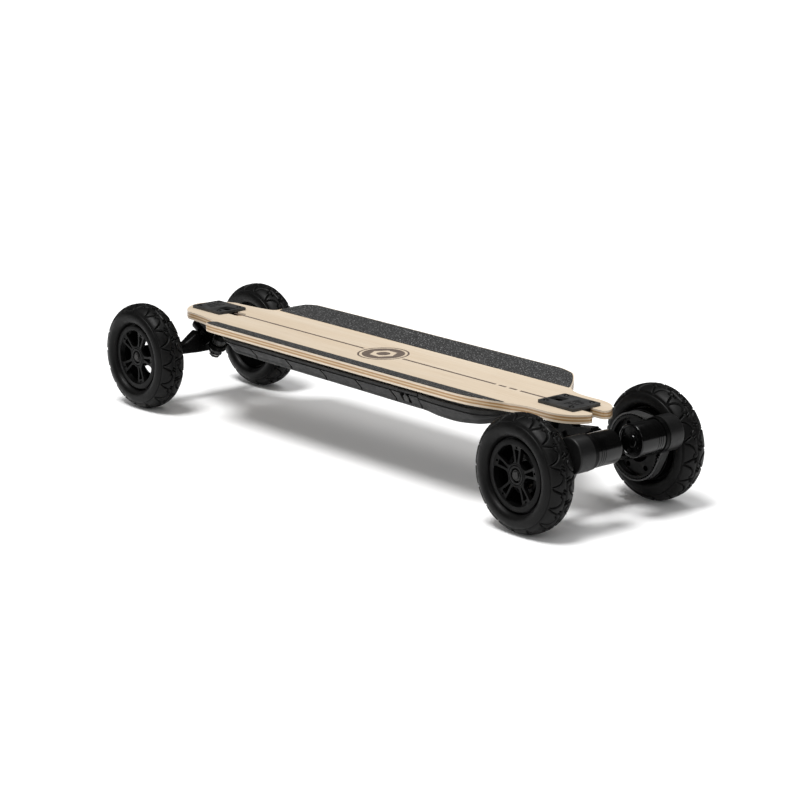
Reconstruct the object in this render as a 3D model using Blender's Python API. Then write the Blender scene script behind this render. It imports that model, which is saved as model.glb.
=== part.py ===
"""Electric skateboard with double-kingpin trucks and two belt-driven rear wheels.

Units are metres. +X runs from the nose to the tail, +Y to the rider's right when facing the nose's way
of travel, and +Z up. The origin is on the ground, midway between the axles.

Each truck is described in its own side view: u is the distance outboard of its axle (towards the nose
or the tail) and w is the height above it. "end" is -1 at the nose and +1 at the tail, and "side" is
-1 at the left and +1 at the right.
"""
import math

import bmesh
import bpy
from mathutils import Matrix, Vector

MM = 0.001
NOSE, TAIL = -1, 1
LEFT, RIGHT = -1, 1
END_NAMES = {NOSE: "front", TAIL: "rear"}
SIDE_NAMES = {LEFT: "left", RIGHT: "right"}
GAP = 0.3 * MM

# Wheels and axles
AXLE_X = 469 * MM
AXLE_Z = 87.5 * MM
TYRE_RADIUS = 87.5 * MM
TYRE_HALF_WIDTH = 25.7 * MM
TYRE_SEGMENTS = 32
WHEEL_Y = {NOSE: 120 * MM, TAIL: 131 * MM}
HUB_SEGMENTS = 20
SPOKES = 5
AXLE_RADIUS = 6 * MM
HANGER_END_INSET = 25.5 * MM

# Deck
DECK_TOP = 157 * MM
DECK_THICKNESS = 14.5 * MM
WING_START = 62 * MM
WING_EDGE = 111 * MM
WING_RISE = 11 * MM
NOSE_TIP, NOSE_ROOT, NOSE_HALF, NOSE_POWER = -481 * MM, -437 * MM, 50 * MM, 1.6
TAIL_TIP, TAIL_ROOT, TAIL_HALF, TAIL_POWER = 489.5 * MM, 430 * MM, 53 * MM, 2.1
TAIL_CUT = 488 * MM
WAIST = [(-370, 57.4), (-350, 62.3), (-335, 75), (-322, 92), (-305, 106), (-280, 111), (-140, 112),
         (0, 112), (140, 112.5), (280, 113), (315, 108), (341, 87), (356, 67), (375, 57.5), (398, 53)]
GRIP_START = 65 * MM
GRIP_MARGIN = 2 * MM
GRIP_THICKNESS = 0.8 * MM

# Truck side view, in (u, w)
PLATE_U = (-85 * MM, -9 * MM)
PLATE_HALF = 28 * MM
PLATE_TOP = 74 * MM
PLATE_BOTTOM = DECK_TOP - AXLE_Z + GAP
PLATE_CORNER = 6 * MM
BOLT_U = (-74 * MM, -20.5 * MM)
BOLT_Y = 20.6 * MM
BOLT_HOLE = 2.7 * MM
CUTOUT_U = (-86 * MM, -13 * MM)
CUTOUT_HALF = 14 * MM
SLOT_HALF = 10 * MM
NOSE_SLOT_U = -114 * MM
UPPER_RING = Vector((-73.3 * MM, 38.5 * MM))
UPPER_AXIS_ANGLE = math.radians(22.5)
UPPER_PIN_TILT = math.radians(-11.5)
LOWER_RING = Vector((-41 * MM, 7 * MM))
LOWER_AXIS_ANGLE = math.radians(28)
LOWER_PIN_TILT = math.radians(28)
PIN_RADIUS = 5 * MM
PIN_HOLE = 5.3 * MM
RING_HOLE = 6.8 * MM
RING_RADIUS = 15 * MM
RING_HALF = 4 * MM
BUSHING_RADIUS = 12 * MM
NOSE_RADIUS = 7 * MM
CUP_RADIUS = 7.6 * MM
UPPER_SEAT = 24 * MM
UPPER_BOSS_BOTTOM = 16 * MM
LOWER_BOSS_BOTTOM = 15 * MM

# Belt drive
MOTOR_TEETH = 15
WHEEL_TEETH = 62
BELT_PITCH = 5 * MM
MOTOR_DISTANCE = 68 * MM
MOTOR_LIFT = math.radians(28.5)
BELT_Y = (85.5 * MM, 100 * MM)
CAN_RADIUS = 25 * MM
CAN_Y = (20 * MM, 67 * MM)
MOUNT_Y = (67.5 * MM, 74.5 * MM)
MOUNT_RADIUS = 26.5 * MM
CLAMP_RADIUS = 17 * MM
COVER_Y = (75 * MM, 103 * MM)
COVER_RADIUS = 27.3 * MM

# Enclosures: x, half-width at the top, half-width at the bottom, height of the bottom
WALL = 2.5 * MM
EDGE_CHAMFER = 6 * MM
BATTERY_STATIONS = [(-335, 60, 52, 138), (-311, 76, 66, 121), (-287, 82, 73, 116.6), (0, 85, 76, 115.5),
                    (183.5, 85, 76, 115)]
CONTROLLER_STATIONS = [(184.5, 85, 76, 115), (215, 87, 79, 112.6), (245, 88, 80, 112),
                       (300, 86, 78, 116.5), (330, 70, 60, 123), (352, 52, 42, 135)]
PORT_X = 153 * MM
PORT_Z = 128.8 * MM
PORT_WALL_Y = 79 * MM
PORT_LEAN = math.radians(20.9)


# ---------------------------------------------------------------- helpers

def clear_scene():
    for old in list(bpy.data.objects):
        bpy.data.objects.remove(old, do_unlink=True)


def material(name, colour, roughness, metallic):
    made = bpy.data.materials.new(name)
    made.use_nodes = True
    shader = made.node_tree.nodes["Principled BSDF"]
    shader.inputs["Base Color"].default_value = (*colour, 1)
    shader.inputs["Roughness"].default_value = roughness
    shader.inputs["Metallic"].default_value = metallic
    return made


FINISHES = {
    "wood": ((0.82, 0.62, 0.40), 0.45, 0.0),
    "grip": ((0.13, 0.13, 0.14), 0.95, 0.0),
    "plastic": ((0.055, 0.056, 0.06), 0.6, 0.0),
    "battery": ((0.06, 0.12, 0.30), 0.5, 0.0),
    "alloy": ((0.45, 0.46, 0.48), 0.4, 1.0),
    "black_metal": ((0.02, 0.02, 0.022), 0.4, 0.4),
    "steel": ((0.55, 0.56, 0.58), 0.35, 1.0),
    "urethane": ((0.09, 0.09, 0.10), 0.6, 0.0),
    "rubber": ((0.03, 0.03, 0.032), 0.8, 0.0),
    "gloss_black": ((0.01, 0.01, 0.012), 0.12, 0.3),
}


def make_piece(name, shape, finish, origin=(0, 0, 0), smooth=True):
    """Turn a bmesh in world coordinates into a named object whose origin is at the given point."""
    bmesh.ops.recalc_face_normals(shape, faces=shape.faces[:])
    bmesh.ops.translate(shape, verts=shape.verts[:], vec=-Vector(origin))
    mesh = bpy.data.meshes.new(name)
    shape.to_mesh(mesh)
    shape.free()
    piece = bpy.data.objects.new(name, mesh)
    piece.location = origin
    bpy.context.scene.collection.objects.link(piece)
    give_finish(piece, finish, smooth)
    return piece


def give_finish(piece, finish, smooth=True):
    piece.data.materials.clear()
    piece.data.materials.append(material(piece.name, *FINISHES[finish]))
    if smooth:
        piece.data.shade_smooth()
        piece.data.set_sharp_from_angle(angle=math.radians(40))


def combine(piece, shapes, operation):
    """Join the shapes to the piece, or cut them out of it, one after another."""
    finish_material = piece.data.materials[0]
    for shape in shapes:
        tool = make_piece("tool", shape, "steel", smooth=False)
        modifier = piece.modifiers.new(operation.lower(), "BOOLEAN")
        modifier.object = tool
        modifier.operation = operation
        modifier.solver = "EXACT"
        bpy.context.view_layer.update()
        solved = piece.evaluated_get(bpy.context.evaluated_depsgraph_get())
        mesh = bpy.data.meshes.new_from_object(solved)
        piece.modifiers.clear()
        piece.data = mesh
        mesh.name = piece.name
        bpy.data.objects.remove(tool, do_unlink=True)
    mesh.materials.clear()
    mesh.materials.append(finish_material)
    mesh.shade_smooth()
    mesh.set_sharp_from_angle(angle=math.radians(40))


def turned(profile, segments, centre, axis, ring=False, flat_first=False):
    """Spin (distance along the axis, radius) points about an axis. A ring's profile is a closed loop."""
    shape = bmesh.new()
    verts = [shape.verts.new((radius, 0, along)) for along, radius in profile]
    pairs = list(zip(verts, verts[1:]))
    if ring:
        pairs.append((verts[-1], verts[0]))
    edges = [shape.edges.new(pair) for pair in pairs]
    bmesh.ops.spin(shape, geom=verts + edges, axis=(0, 0, 1), cent=(0, 0, 0), steps=segments,
                   angle=math.tau, use_merge=True)
    bmesh.ops.remove_doubles(shape, verts=shape.verts[:], dist=1e-6)
    if not ring:
        rims = [edge for edge in shape.edges if edge.is_boundary]
        bmesh.ops.holes_fill(shape, edges=rims, sides=0)
    start = math.pi / segments if flat_first else 0
    turn = Vector((0, 0, 1)).rotation_difference(Vector(axis)).to_matrix().to_4x4()
    place = Matrix.Translation(centre) @ turn @ Matrix.Rotation(start, 4, "Z")
    bmesh.ops.transform(shape, matrix=place, verts=shape.verts[:])
    return shape


def rod(start, end, radius, segments, axis, centre):
    """Plain cylinder between two distances along an axis."""
    return turned([(start, radius), (end, radius)], segments, centre, axis)


def prism(outline, low, high, place):
    """Extrude a flat outline between two heights; place(a, b, height) gives the world point."""
    shape = bmesh.new()
    verts = [shape.verts.new(place(a, b, low)) for a, b in outline]
    base = shape.faces.new(verts)
    lifted = bmesh.ops.extrude_face_region(shape, geom=[base])["geom"]
    rise = place(0, 0, high) - place(0, 0, low)
    moved = [item for item in lifted if isinstance(item, bmesh.types.BMVert)]
    bmesh.ops.translate(shape, verts=moved, vec=rise)
    return shape


def loft(sections):
    """Solid through closed sections that all have the same number of points."""
    shape = bmesh.new()
    loops = [[shape.verts.new(point) for point in section] for section in sections]
    for near, far in zip(loops, loops[1:]):
        for first in range(len(near)):
            second = (first + 1) % len(near)
            shape.faces.new((near[first], near[second], far[second], far[first]))
    shape.faces.new(loops[0][::-1])
    shape.faces.new(loops[-1])
    return shape


def arc(centre, radius, start, end, steps):
    """Points of an arc in a plane, angles in radians."""
    angles = [start + (end - start) * step / steps for step in range(steps + 1)]
    return [(centre[0] + radius * math.cos(a), centre[1] + radius * math.sin(a)) for a in angles]


def rounded_rectangle(low, high, radius, steps=2):
    corners = [(high[0] - radius, high[1] - radius), (low[0] + radius, high[1] - radius),
               (low[0] + radius, low[1] + radius), (high[0] - radius, low[1] + radius)]
    outline = []
    for quarter, corner in enumerate(corners):
        start = quarter * math.pi / 2
        outline += arc(corner, radius, start, start + math.pi / 2, steps)
    return outline


def from_above(a, b, height):
    return Vector((a, b, height))


def millimetres(rows):
    return [tuple(value * MM for value in row) for row in rows]


# ---------------------------------------------------------------- deck

def superellipse(x, root, tip, half, power):
    share = min(1.0, abs((x - root) / (tip - root)))
    return half * max(0.0, 1 - share ** power) ** (1 / power)


def deck_half_width(x):
    if x <= NOSE_ROOT:
        return superellipse(x, NOSE_ROOT, NOSE_TIP, NOSE_HALF, NOSE_POWER)
    if x >= TAIL_ROOT:
        return superellipse(x, TAIL_ROOT, TAIL_TIP, TAIL_HALF, TAIL_POWER)
    points = [(NOSE_ROOT, NOSE_HALF)] + millimetres(WAIST) + [(TAIL_ROOT, TAIL_HALF)]
    for (x0, half0), (x1, half1) in zip(points, points[1:]):
        if x <= x1:
            return half0 + (half1 - half0) * (x - x0) / (x1 - x0)


def deck_rise(y):
    return WING_RISE * max(0.0, (abs(y) - WING_START) / (WING_EDGE - WING_START))


def deck_underside(y):
    return DECK_TOP - DECK_THICKNESS + deck_rise(y)


def deck_stations():
    nose = [NOSE_TIP + (NOSE_ROOT - NOSE_TIP) * share for share in (0.02, 0.12, 0.28, 0.5, 0.75, 1)]
    middle = [x for x, _ in millimetres(WAIST)]
    tail = [TAIL_ROOT + (TAIL_CUT - TAIL_ROOT) * share for share in (0, 0.25, 0.5, 0.7, 0.87, 1)]
    return nose + middle + tail


def deck_section(x):
    """Closed section across the deck: along the top from left to right and back underneath."""
    half = deck_half_width(x)
    crease = min(WING_START, half * 0.97)
    right = [crease / 2, crease, (crease + half) / 2, half]
    across = [-y for y in reversed(right)] + [0] + right
    top = [Vector((x, y, DECK_TOP + deck_rise(y))) for y in across]
    bottom = [Vector((x, y, deck_underside(y))) for y in reversed(across)]
    return top + bottom


def slot_outline(end):
    """Drop-through cut-out with the closed nose slot or the open tail slot beside it."""
    inner, outer = AXLE_X + CUTOUT_U[0], AXLE_X + CUTOUT_U[1]
    if end == NOSE:
        tip = AXLE_X + NOSE_SLOT_U + SLOT_HALF
        slot = arc((tip, 0), SLOT_HALF, math.pi / 2, 3 * math.pi / 2, 7)
        outline = [(outer, CUTOUT_HALF), (inner, CUTOUT_HALF), (inner, SLOT_HALF)] + slot
        outline += [(inner, -SLOT_HALF), (inner, -CUTOUT_HALF), (outer, -CUTOUT_HALF)]
        return [(-x, y) for x, y in outline]
    past = TAIL_TIP + 10 * MM
    return [(inner, CUTOUT_HALF), (inner, -CUTOUT_HALF), (outer, -CUTOUT_HALF), (outer, -SLOT_HALF),
            (past, -SLOT_HALF), (past, SLOT_HALF), (outer, SLOT_HALF), (outer, CUTOUT_HALF)]


def bolt_holes(end, low, high):
    places = [(end * (AXLE_X + u), side * BOLT_Y) for u in BOLT_U for side in (LEFT, RIGHT)]
    return [rod(low, high, BOLT_HOLE, 8, (0, 0, 1), (x, y, 0)) for x, y in places]


def make_deck():
    deck = make_piece("deck", loft([deck_section(x) for x in deck_stations()]), "wood")
    low, high = DECK_TOP - 40 * MM, DECK_TOP + 40 * MM
    for end in (NOSE, TAIL):
        cuts = [prism(slot_outline(end), low, high, from_above)] + bolt_holes(end, low, high)
        combine(deck, cuts, "DIFFERENCE")


def make_grip(side):
    lowest = GRIP_START + 3 * MM
    ends = [-341 * MM, 353 * MM]
    middle = [x for x in deck_stations() if ends[0] < x < ends[1]]
    sections = []
    for x in [ends[0]] + middle + [ends[1]]:
        outer = max(lowest, deck_half_width(x) - GRIP_MARGIN)
        across = [GRIP_START, (GRIP_START + outer) / 2, outer]
        top = [Vector((x, side * y, DECK_TOP + deck_rise(y) + GAP + GRIP_THICKNESS)) for y in across]
        bottom = [Vector((x, side * y, DECK_TOP + deck_rise(y) + GAP)) for y in reversed(across)]
        sections.append(top + bottom)
    make_piece(f"grip_{SIDE_NAMES[side]}", loft(sections), "grip", smooth=False)


# ---------------------------------------------------------------- enclosures and electronics

def enclosure_section(station):
    """Outer section of a shell hanging under the deck, with chamfered lower edges."""
    x, top, bottom, low = station
    high = deck_underside(top) - 2.2 * MM
    shelf = min(WING_START - 4 * MM, top - 6 * MM)
    chamfer = min(EDGE_CHAMFER, (high - low) / 2)
    right = [(shelf, deck_underside(0) - 0.6 * MM), (top, high), (bottom, low + chamfer), (bottom - chamfer, low)]
    points = right + [(-y, z) for y, z in reversed(right)]
    return [Vector((x, y, z)) for y, z in points]


def enclosure_hollow(station):
    x, top, bottom, low = station
    brim = deck_underside(0) - 2 * MM
    chamfer = min(EDGE_CHAMFER, (brim - low) / 3)
    right = [(top - 6 * MM, DECK_TOP), (top - 6 * MM, brim), (bottom - WALL, low + chamfer + WALL),
             (bottom - chamfer, low + WALL)]
    points = right + [(-y, z) for y, z in reversed(right)]
    return [Vector((x, y, z)) for y, z in points]


def shell(name, stations, hollow_ends):
    """Shell with an open top: the outer solid less a hollow between the two hollow ends."""
    outer = millimetres(stations)
    inner = [(hollow_ends[0], *station_at(outer, hollow_ends[0]))]
    inner += [row for row in outer if hollow_ends[0] < row[0] < hollow_ends[1]]
    inner += [(hollow_ends[1], *station_at(outer, hollow_ends[1]))]
    piece = make_piece(name, loft([enclosure_section(row) for row in outer]), "plastic")
    combine(piece, [loft([enclosure_hollow(row) for row in inner])], "DIFFERENCE")
    return piece


def station_at(stations, x):
    for first, second in zip(stations, stations[1:]):
        if x <= second[0]:
            share = (x - first[0]) / (second[0] - first[0])
            return tuple(a + (b - a) * share for a, b in zip(first[1:], second[1:]))


def port_place(side):
    """Frame on an enclosure's leaning side wall: along X, up the wall, and straight out of it."""
    out = Vector((0, side * math.cos(PORT_LEAN), -math.sin(PORT_LEAN)))
    up = Vector((0, side * math.sin(PORT_LEAN), math.cos(PORT_LEAN)))
    centre = Vector((PORT_X, side * PORT_WALL_Y, PORT_Z))

    def place(a, b, height):
        return centre + Vector((a, 0, 0)) + up * b + out * height

    return place, out, centre


def make_enclosures():
    battery_shell = shell("battery_enclosure", BATTERY_STATIONS, (-318 * MM, 181 * MM))
    shell("controller_enclosure", CONTROLLER_STATIONS, (187 * MM, 338 * MM))
    place, _, _ = port_place(LEFT)
    port = rounded_rectangle((-11 * MM, -8 * MM), (11 * MM, 8 * MM), 1 * MM, 1)
    _, out, centre = port_place(RIGHT)
    button_hole = rod(-9 * MM, 9 * MM, 6.6 * MM, 16, out, centre)
    combine(battery_shell, [prism(port, -8 * MM, 8 * MM, place), button_hole], "DIFFERENCE")


def block(name, low, high, finish):
    """Box with rounded upright edges."""
    radius = 5 * MM
    outline = rounded_rectangle(low[:2], high[:2], radius, 2)
    make_piece(name, prism(outline, low[2], high[2], from_above), finish, smooth=False)


def make_electronics():
    block("battery_pack", (-285 * MM, -67 * MM, 120 * MM), (125 * MM, 67 * MM, 138.5 * MM), "battery")
    block("motor_controller", (196 * MM, -58 * MM, 121 * MM), (292 * MM, 58 * MM, 138.5 * MM), "alloy")


def make_charge_port():
    place, out, centre = port_place(LEFT)
    body = rounded_rectangle((-10.6 * MM, -7.6 * MM), (10.6 * MM, 7.6 * MM), 0.8 * MM, 1)
    socket = make_piece("charge_socket", prism(body, -9 * MM, 0.2 * MM, place), "plastic")
    combine(socket, [rod(-6.5 * MM, 2 * MM, 4.6 * MM, 16, out, centre)], "DIFFERENCE")
    flap = rounded_rectangle((-7.5 * MM, -7 * MM), (7.5 * MM, 7.2 * MM), 5 * MM, 3)
    hinge = place(0, 7.4 * MM, 0.7 * MM)
    make_piece("charge_cap", prism(flap, 0.6 * MM, 2.4 * MM, place), "rubber", origin=hinge)


def make_power_button():
    _, out, centre = port_place(RIGHT)
    rim, rise = 6.2 * MM, 1.8 * MM
    profile = [(-7 * MM, rim), (rise - 0.5 * MM, rim), (rise, rim - 0.6 * MM)]
    make_piece("power_button", turned(profile, 20, centre, out), "alloy", origin=centre)


# ---------------------------------------------------------------- trucks

def side_view(end):
    """Returns place(u, w, y) for a truck at one end of the board."""
    return lambda u, w, y: Vector((end * (AXLE_X + u), y, AXLE_Z + w))


def slanted(end, angle):
    """Unit vector in the side view that rises outboard at an angle above the horizontal."""
    return Vector((end * math.cos(angle), 0, math.sin(angle)))


def along_axis(ring, angle, t, h):
    """Side-view point t outboard along a steering axis from its ring, and h square to it, upwards."""
    return (ring.x + t * math.cos(angle) - h * math.sin(angle),
            ring.y + t * math.sin(angle) + h * math.cos(angle))


def upper(t, h):
    return along_axis(UPPER_RING, UPPER_AXIS_ANGLE, t, h)


def lower(t, h):
    return along_axis(LOWER_RING, LOWER_AXIS_ANGLE, t, h)


def upper_pin(e, h):
    """Side-view point e outboard of the upper kingpin's line and h up it from the ring."""
    return along_axis(UPPER_RING, UPPER_PIN_TILT, e, h)


def pin_frame(end, ring, tilt):
    """Centre of a kingpin's ring and the direction up the kingpin."""
    centre = side_view(end)(ring.x, ring.y, 0)
    return centre, slanted(end, tilt + math.pi / 2)


def upper_frame(end):
    return pin_frame(end, UPPER_RING, UPPER_PIN_TILT)


def lower_frame(end):
    return pin_frame(end, LOWER_RING, LOWER_PIN_TILT)


def make_kingpins(end):
    name = END_NAMES[end]
    centre, up = upper_frame(end)
    washer, nut, nut_end, tip = -14 * MM, -15.5 * MM, -21.5 * MM, -23 * MM
    foot = [(washer, PIN_RADIUS), (washer, 10.5 * MM), (nut, 10.5 * MM), (nut, 8.5 * MM),
            (nut_end, 8.5 * MM), (nut_end, PIN_RADIUS), (tip, PIN_RADIUS)]
    head = [(UPPER_SEAT + 5.5 * MM, 8.2 * MM), (UPPER_SEAT + GAP, 8.2 * MM), (UPPER_SEAT + GAP, PIN_RADIUS)]
    make_piece(f"{name}_upper_kingpin", turned(head + foot, 12, centre, up), "steel", origin=centre)
    centre, up = lower_frame(end)
    stud = [(LOWER_BOSS_BOTTOM + 15 * MM, PIN_RADIUS)]
    make_piece(f"{name}_lower_kingpin", turned(stud + foot, 12, centre, up), "steel", origin=centre)


def make_bushings(end):
    name = END_NAMES[end]
    for level, frame, seat in (("upper", upper_frame(end), UPPER_BOSS_BOTTOM),
                               ("lower", lower_frame(end), LOWER_BOSS_BOTTOM)):
        centre, up = frame
        bore = PIN_RADIUS + 0.45 * MM
        low, high = RING_HALF + GAP, seat - GAP
        barrel = [(low, bore), (low, BUSHING_RADIUS), (high, BUSHING_RADIUS), (high, bore)]
        low, high = -14 * MM + GAP, -RING_HALF - GAP
        cone = [(low, bore), (low, 9.5 * MM), (high, BUSHING_RADIUS - 0.5 * MM), (high, bore)]
        for place, profile in (("boardside", barrel), ("roadside", cone)):
            shape = turned(profile, 16, centre, up, ring=True)
            make_piece(f"{name}_{level}_bushing_{place}", shape, "urethane", origin=centre)


def make_baseplate(end):
    place = side_view(end)

    def flat(u, y, w):
        return place(u, w, y)

    plate = prism(rounded_rectangle((PLATE_U[0], -PLATE_HALF), (PLATE_U[1], PLATE_HALF), PLATE_CORNER),
                  PLATE_BOTTOM, PLATE_TOP, flat)
    piece = make_piece(f"{END_NAMES[end]}_baseplate", plate, "black_metal")
    centre, up = upper_frame(end)
    axis = slanted(end, UPPER_AXIS_ANGLE)
    keel_half = 12.7 * MM
    keel = prism([(-83 * MM, -keel_half), (-14 * MM, -keel_half), (-14 * MM, keel_half), (-83 * MM, keel_half)],
                 64.5 * MM, PLATE_BOTTOM + 1.5 * MM, flat)
    boss = rod(UPPER_BOSS_BOTTOM, 31 * MM, 12.3 * MM, 16, up, centre)
    housing = rod(46 * MM, 61 * MM, 11.8 * MM, 16, axis, centre)
    combine(piece, [keel, boss, housing], "UNION")
    window = prism(rounded_rectangle((-81 * MM, -SLOT_HALF), (-56 * MM, SLOT_HALF), 2 * MM, 2),
                   66 * MM, PLATE_TOP + 10 * MM, flat)
    seat = rod(UPPER_SEAT, 45 * MM, 9.6 * MM, 16, up, centre)
    pin_hole = rod(5 * MM, 45 * MM, PIN_HOLE, 12, up, centre)
    cavity = rod(40 * MM, 59 * MM, CUP_RADIUS, 16, axis, centre)
    holes = bolt_holes(end, AXLE_Z + PLATE_BOTTOM - 4 * MM, AXLE_Z + PLATE_TOP + 4 * MM)
    combine(piece, [window, seat, pin_hole, cavity] + holes, "DIFFERENCE")


def nose(start, end_distance, axis, centre):
    """Pivot nose: a rod along the steering axis with an eased tip."""
    return turned([(start, NOSE_RADIUS), (end_distance - 3 * MM, NOSE_RADIUS),
                   (end_distance, NOSE_RADIUS - 2.5 * MM)], 12, centre, axis)


def link_outline():
    return [upper_pin(13.2 * MM, 5 * MM), upper(27 * MM, 0), upper(40 * MM, 0), upper(40 * MM, -14 * MM),
            lower(47 * MM, 17 * MM), lower(60 * MM, 12 * MM), lower(60 * MM, 9 * MM),
            lower(46 * MM, 9 * MM), lower(14 * MM, 10 * MM), lower(13 * MM, 16.5 * MM),
            lower(-10 * MM, 16.5 * MM), upper_pin(14.5 * MM, -8 * MM), upper_pin(13.2 * MM, -5 * MM)]


def make_link(end):
    place = side_view(end)
    upper_centre, upper_up = upper_frame(end)
    lower_centre, lower_up = lower_frame(end)
    upper_axis = slanted(end, UPPER_AXIS_ANGLE)
    lower_axis = slanted(end, LOWER_AXIS_ANGLE)
    web = prism(link_outline(), -8 * MM, 8 * MM, place)
    piece = make_piece(f"{END_NAMES[end]}_link", web, "black_metal", origin=upper_centre)
    ring = rod(-RING_HALF, RING_HALF, RING_RADIUS, 16, upper_up, upper_centre)
    boss = rod(LOWER_BOSS_BOTTOM, 24 * MM, BUSHING_RADIUS, 16, lower_up, lower_centre)
    cup = rod(45 * MM, 62 * MM, 11.5 * MM, 16, lower_axis, lower_centre)
    combine(piece, [ring, nose(26 * MM, 57 * MM, upper_axis, upper_centre), boss, cup], "UNION")
    ring_hole = rod(-9 * MM, 9 * MM, RING_HOLE, 16, upper_up, upper_centre)
    stud_hole = rod(5 * MM, LOWER_BOSS_BOTTOM + 15.5 * MM, PIN_HOLE, 12, lower_up, lower_centre)
    cavity = rod(40 * MM, 59.5 * MM, CUP_RADIUS, 16, lower_axis, lower_centre)
    combine(piece, [ring_hole, stud_hole, cavity], "DIFFERENCE")


def hanger_section(end, y, low_u, high_u, low_w, high_w, chamfer):
    place = side_view(end)
    corners = [(low_u, low_w + chamfer), (low_u, high_w - chamfer), (low_u + chamfer, high_w),
               (high_u - chamfer, high_w), (high_u, high_w - chamfer), (high_u, low_w + chamfer),
               (high_u - chamfer, low_w), (low_u + chamfer, low_w)]
    return [place(u, w, y) for u, w in corners]


def hanger_beam(end):
    """Beam from wheel to wheel: a deep middle that tapers to round ends."""
    tip = WHEEL_Y[end] - HANGER_END_INSET
    octagon = 9.2 * MM
    cut = octagon * (1 - math.tan(math.pi / 8))
    half = [(10, -13, 10, -9, 16, 3), (22, -12, 10, -9, 14, 3), (46, -9.5, 9.5, -9, 9.5, 3)]
    right = [tuple(value * MM for value in row) for row in half]
    right += [(y, -octagon, octagon, -octagon, octagon, cut) for y in (60 * MM, tip)]
    left = [(-row[0], *row[1:]) for row in reversed(right)]
    return loft([hanger_section(end, *row) for row in left + right])


def make_hanger(end):
    place = side_view(end)
    centre, up = lower_frame(end)
    axis = slanted(end, LOWER_AXIS_ANGLE)
    piece = make_piece(f"{END_NAMES[end]}_hanger", hanger_beam(end), "black_metal", origin=centre)
    neck = [lower(13 * MM, 3.6 * MM), lower(36 * MM, 5 * MM), lower(41 * MM, 0), lower(41 * MM, -12 * MM),
            (2 * MM, 0), (-10 * MM, 0), lower(14 * MM, -3.6 * MM)]
    web = prism(neck, -8.5 * MM, 8.5 * MM, place)
    ring = rod(-RING_HALF, RING_HALF, RING_RADIUS, 16, up, centre)
    combine(piece, [web, ring, nose(16 * MM, 57.5 * MM, axis, centre)], "UNION")
    ring_hole = rod(-9 * MM, 9 * MM, RING_HOLE, 16, up, centre)
    length = WHEEL_Y[end] + 20 * MM
    axle_hole = rod(-length, length, AXLE_RADIUS + 0.25 * MM, 16, (0, 1, 0), place(0, 0, 0))
    combine(piece, [ring_hole, axle_hole], "DIFFERENCE")


def make_axle(end):
    half = WHEEL_Y[end] + 18.4 * MM
    centre = side_view(end)(0, 0, 0)
    shape = rod(-half, half, AXLE_RADIUS, 16, (0, 1, 0), centre)
    make_piece(f"{END_NAMES[end]}_axle", shape, "steel", origin=centre)


# ---------------------------------------------------------------- wheels

def wheel_name(end, side):
    return f"{END_NAMES[end]}_{SIDE_NAMES[side]}"


def tyre_profile():
    """Closed section of the tyre, as (offset from its middle plane, radius)."""
    crown = TYRE_RADIUS / math.cos(math.pi / TYRE_SEGMENTS)
    widest = 66.5 * MM
    power = 2 / 2.3
    half = [(16.2 * MM, 46.9 * MM), (16.2 * MM, 53.7 * MM), (21.5 * MM, 55.2 * MM)]
    for angle in (0, 35, 65):
        turn = math.radians(angle)
        half.append((TYRE_HALF_WIDTH * math.cos(turn) ** power,
                     widest + (crown - widest) * math.sin(turn) ** power))
    return half + [(0, crown)] + [(-offset, radius) for offset, radius in reversed(half)]


def hub_profile():
    """Closed section of the hub, outboard offsets positive."""
    points = [(12.5, 14.3), (11.5, 41), (19, 43.5), (19, 53), (16.8, 53), (16.6, 46.3), (-16.6, 46.3),
              (-16.8, 53), (-19, 53), (-19, 43.5), (4.5, 41.5), (4.5, 18.5), (-24.5, 18.5), (-24.5, 9.5),
              (-0.9, 9.5), (-0.9, 14.3)]
    return millimetres(points)


def hub_windows(centre, outward):
    """Five wedge-shaped cutters between the spokes."""
    inner, outer = 22.5 * MM, 39.5 * MM
    spread_in, spread_out = math.radians(17), math.radians(24)
    turn = Vector((0, 0, 1)).rotation_difference(outward).to_matrix()
    cutters = []
    for spoke in range(SPOKES):
        middle = math.tau * (spoke + 0.5) / SPOKES
        outline = arc((0, 0), inner, middle - spread_in, middle + spread_in, 1)
        outline += arc((0, 0), outer, middle + spread_out, middle - spread_out, 3)

        def place(a, b, height):
            return centre + turn @ Vector((a, b, height))

        cutters.append(prism(outline, -3 * MM, 20 * MM, place))
    return cutters


def make_wheel(end, side):
    name = wheel_name(end, side)
    centre = side_view(end)(0, 0, side * WHEEL_Y[end])
    outward = Vector((0, side, 0))
    tyre = turned(tyre_profile(), TYRE_SEGMENTS, centre, outward, ring=True, flat_first=True)
    make_piece(f"{name}_tyre", tyre, "rubber", origin=centre)
    hub = make_piece(f"{name}_hub", turned(hub_profile(), HUB_SEGMENTS, centre, outward, ring=True),
                     "black_metal", origin=centre)
    combine(hub, hub_windows(centre, outward), "DIFFERENCE")
    race = [(-0.6, 6.35), (-0.6, 14), (7.4, 14), (7.4, 6.35)]
    bearing = turned(millimetres(race), 16, centre, outward, ring=True)
    make_piece(f"{name}_bearing", bearing, "steel", origin=centre)
    hexagon = [(8.4, 7.2), (8.4, 9.6), (16.4, 9.6), (16.4, 7.2)]
    nut = turned(millimetres(hexagon), 6, centre, outward, ring=True)
    make_piece(f"{name}_axle_nut", nut, "steel", origin=centre, smooth=False)


# ---------------------------------------------------------------- belt drive

def motor_centre_uw():
    return (MOTOR_DISTANCE * math.cos(MOTOR_LIFT), MOTOR_DISTANCE * math.sin(MOTOR_LIFT))


def motor_frame(side):
    u, w = motor_centre_uw()
    return side_view(TAIL)(u, w, 0), Vector((0, side, 0))


def pitch_radius(teeth):
    return teeth * BELT_PITCH / math.tau


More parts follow.
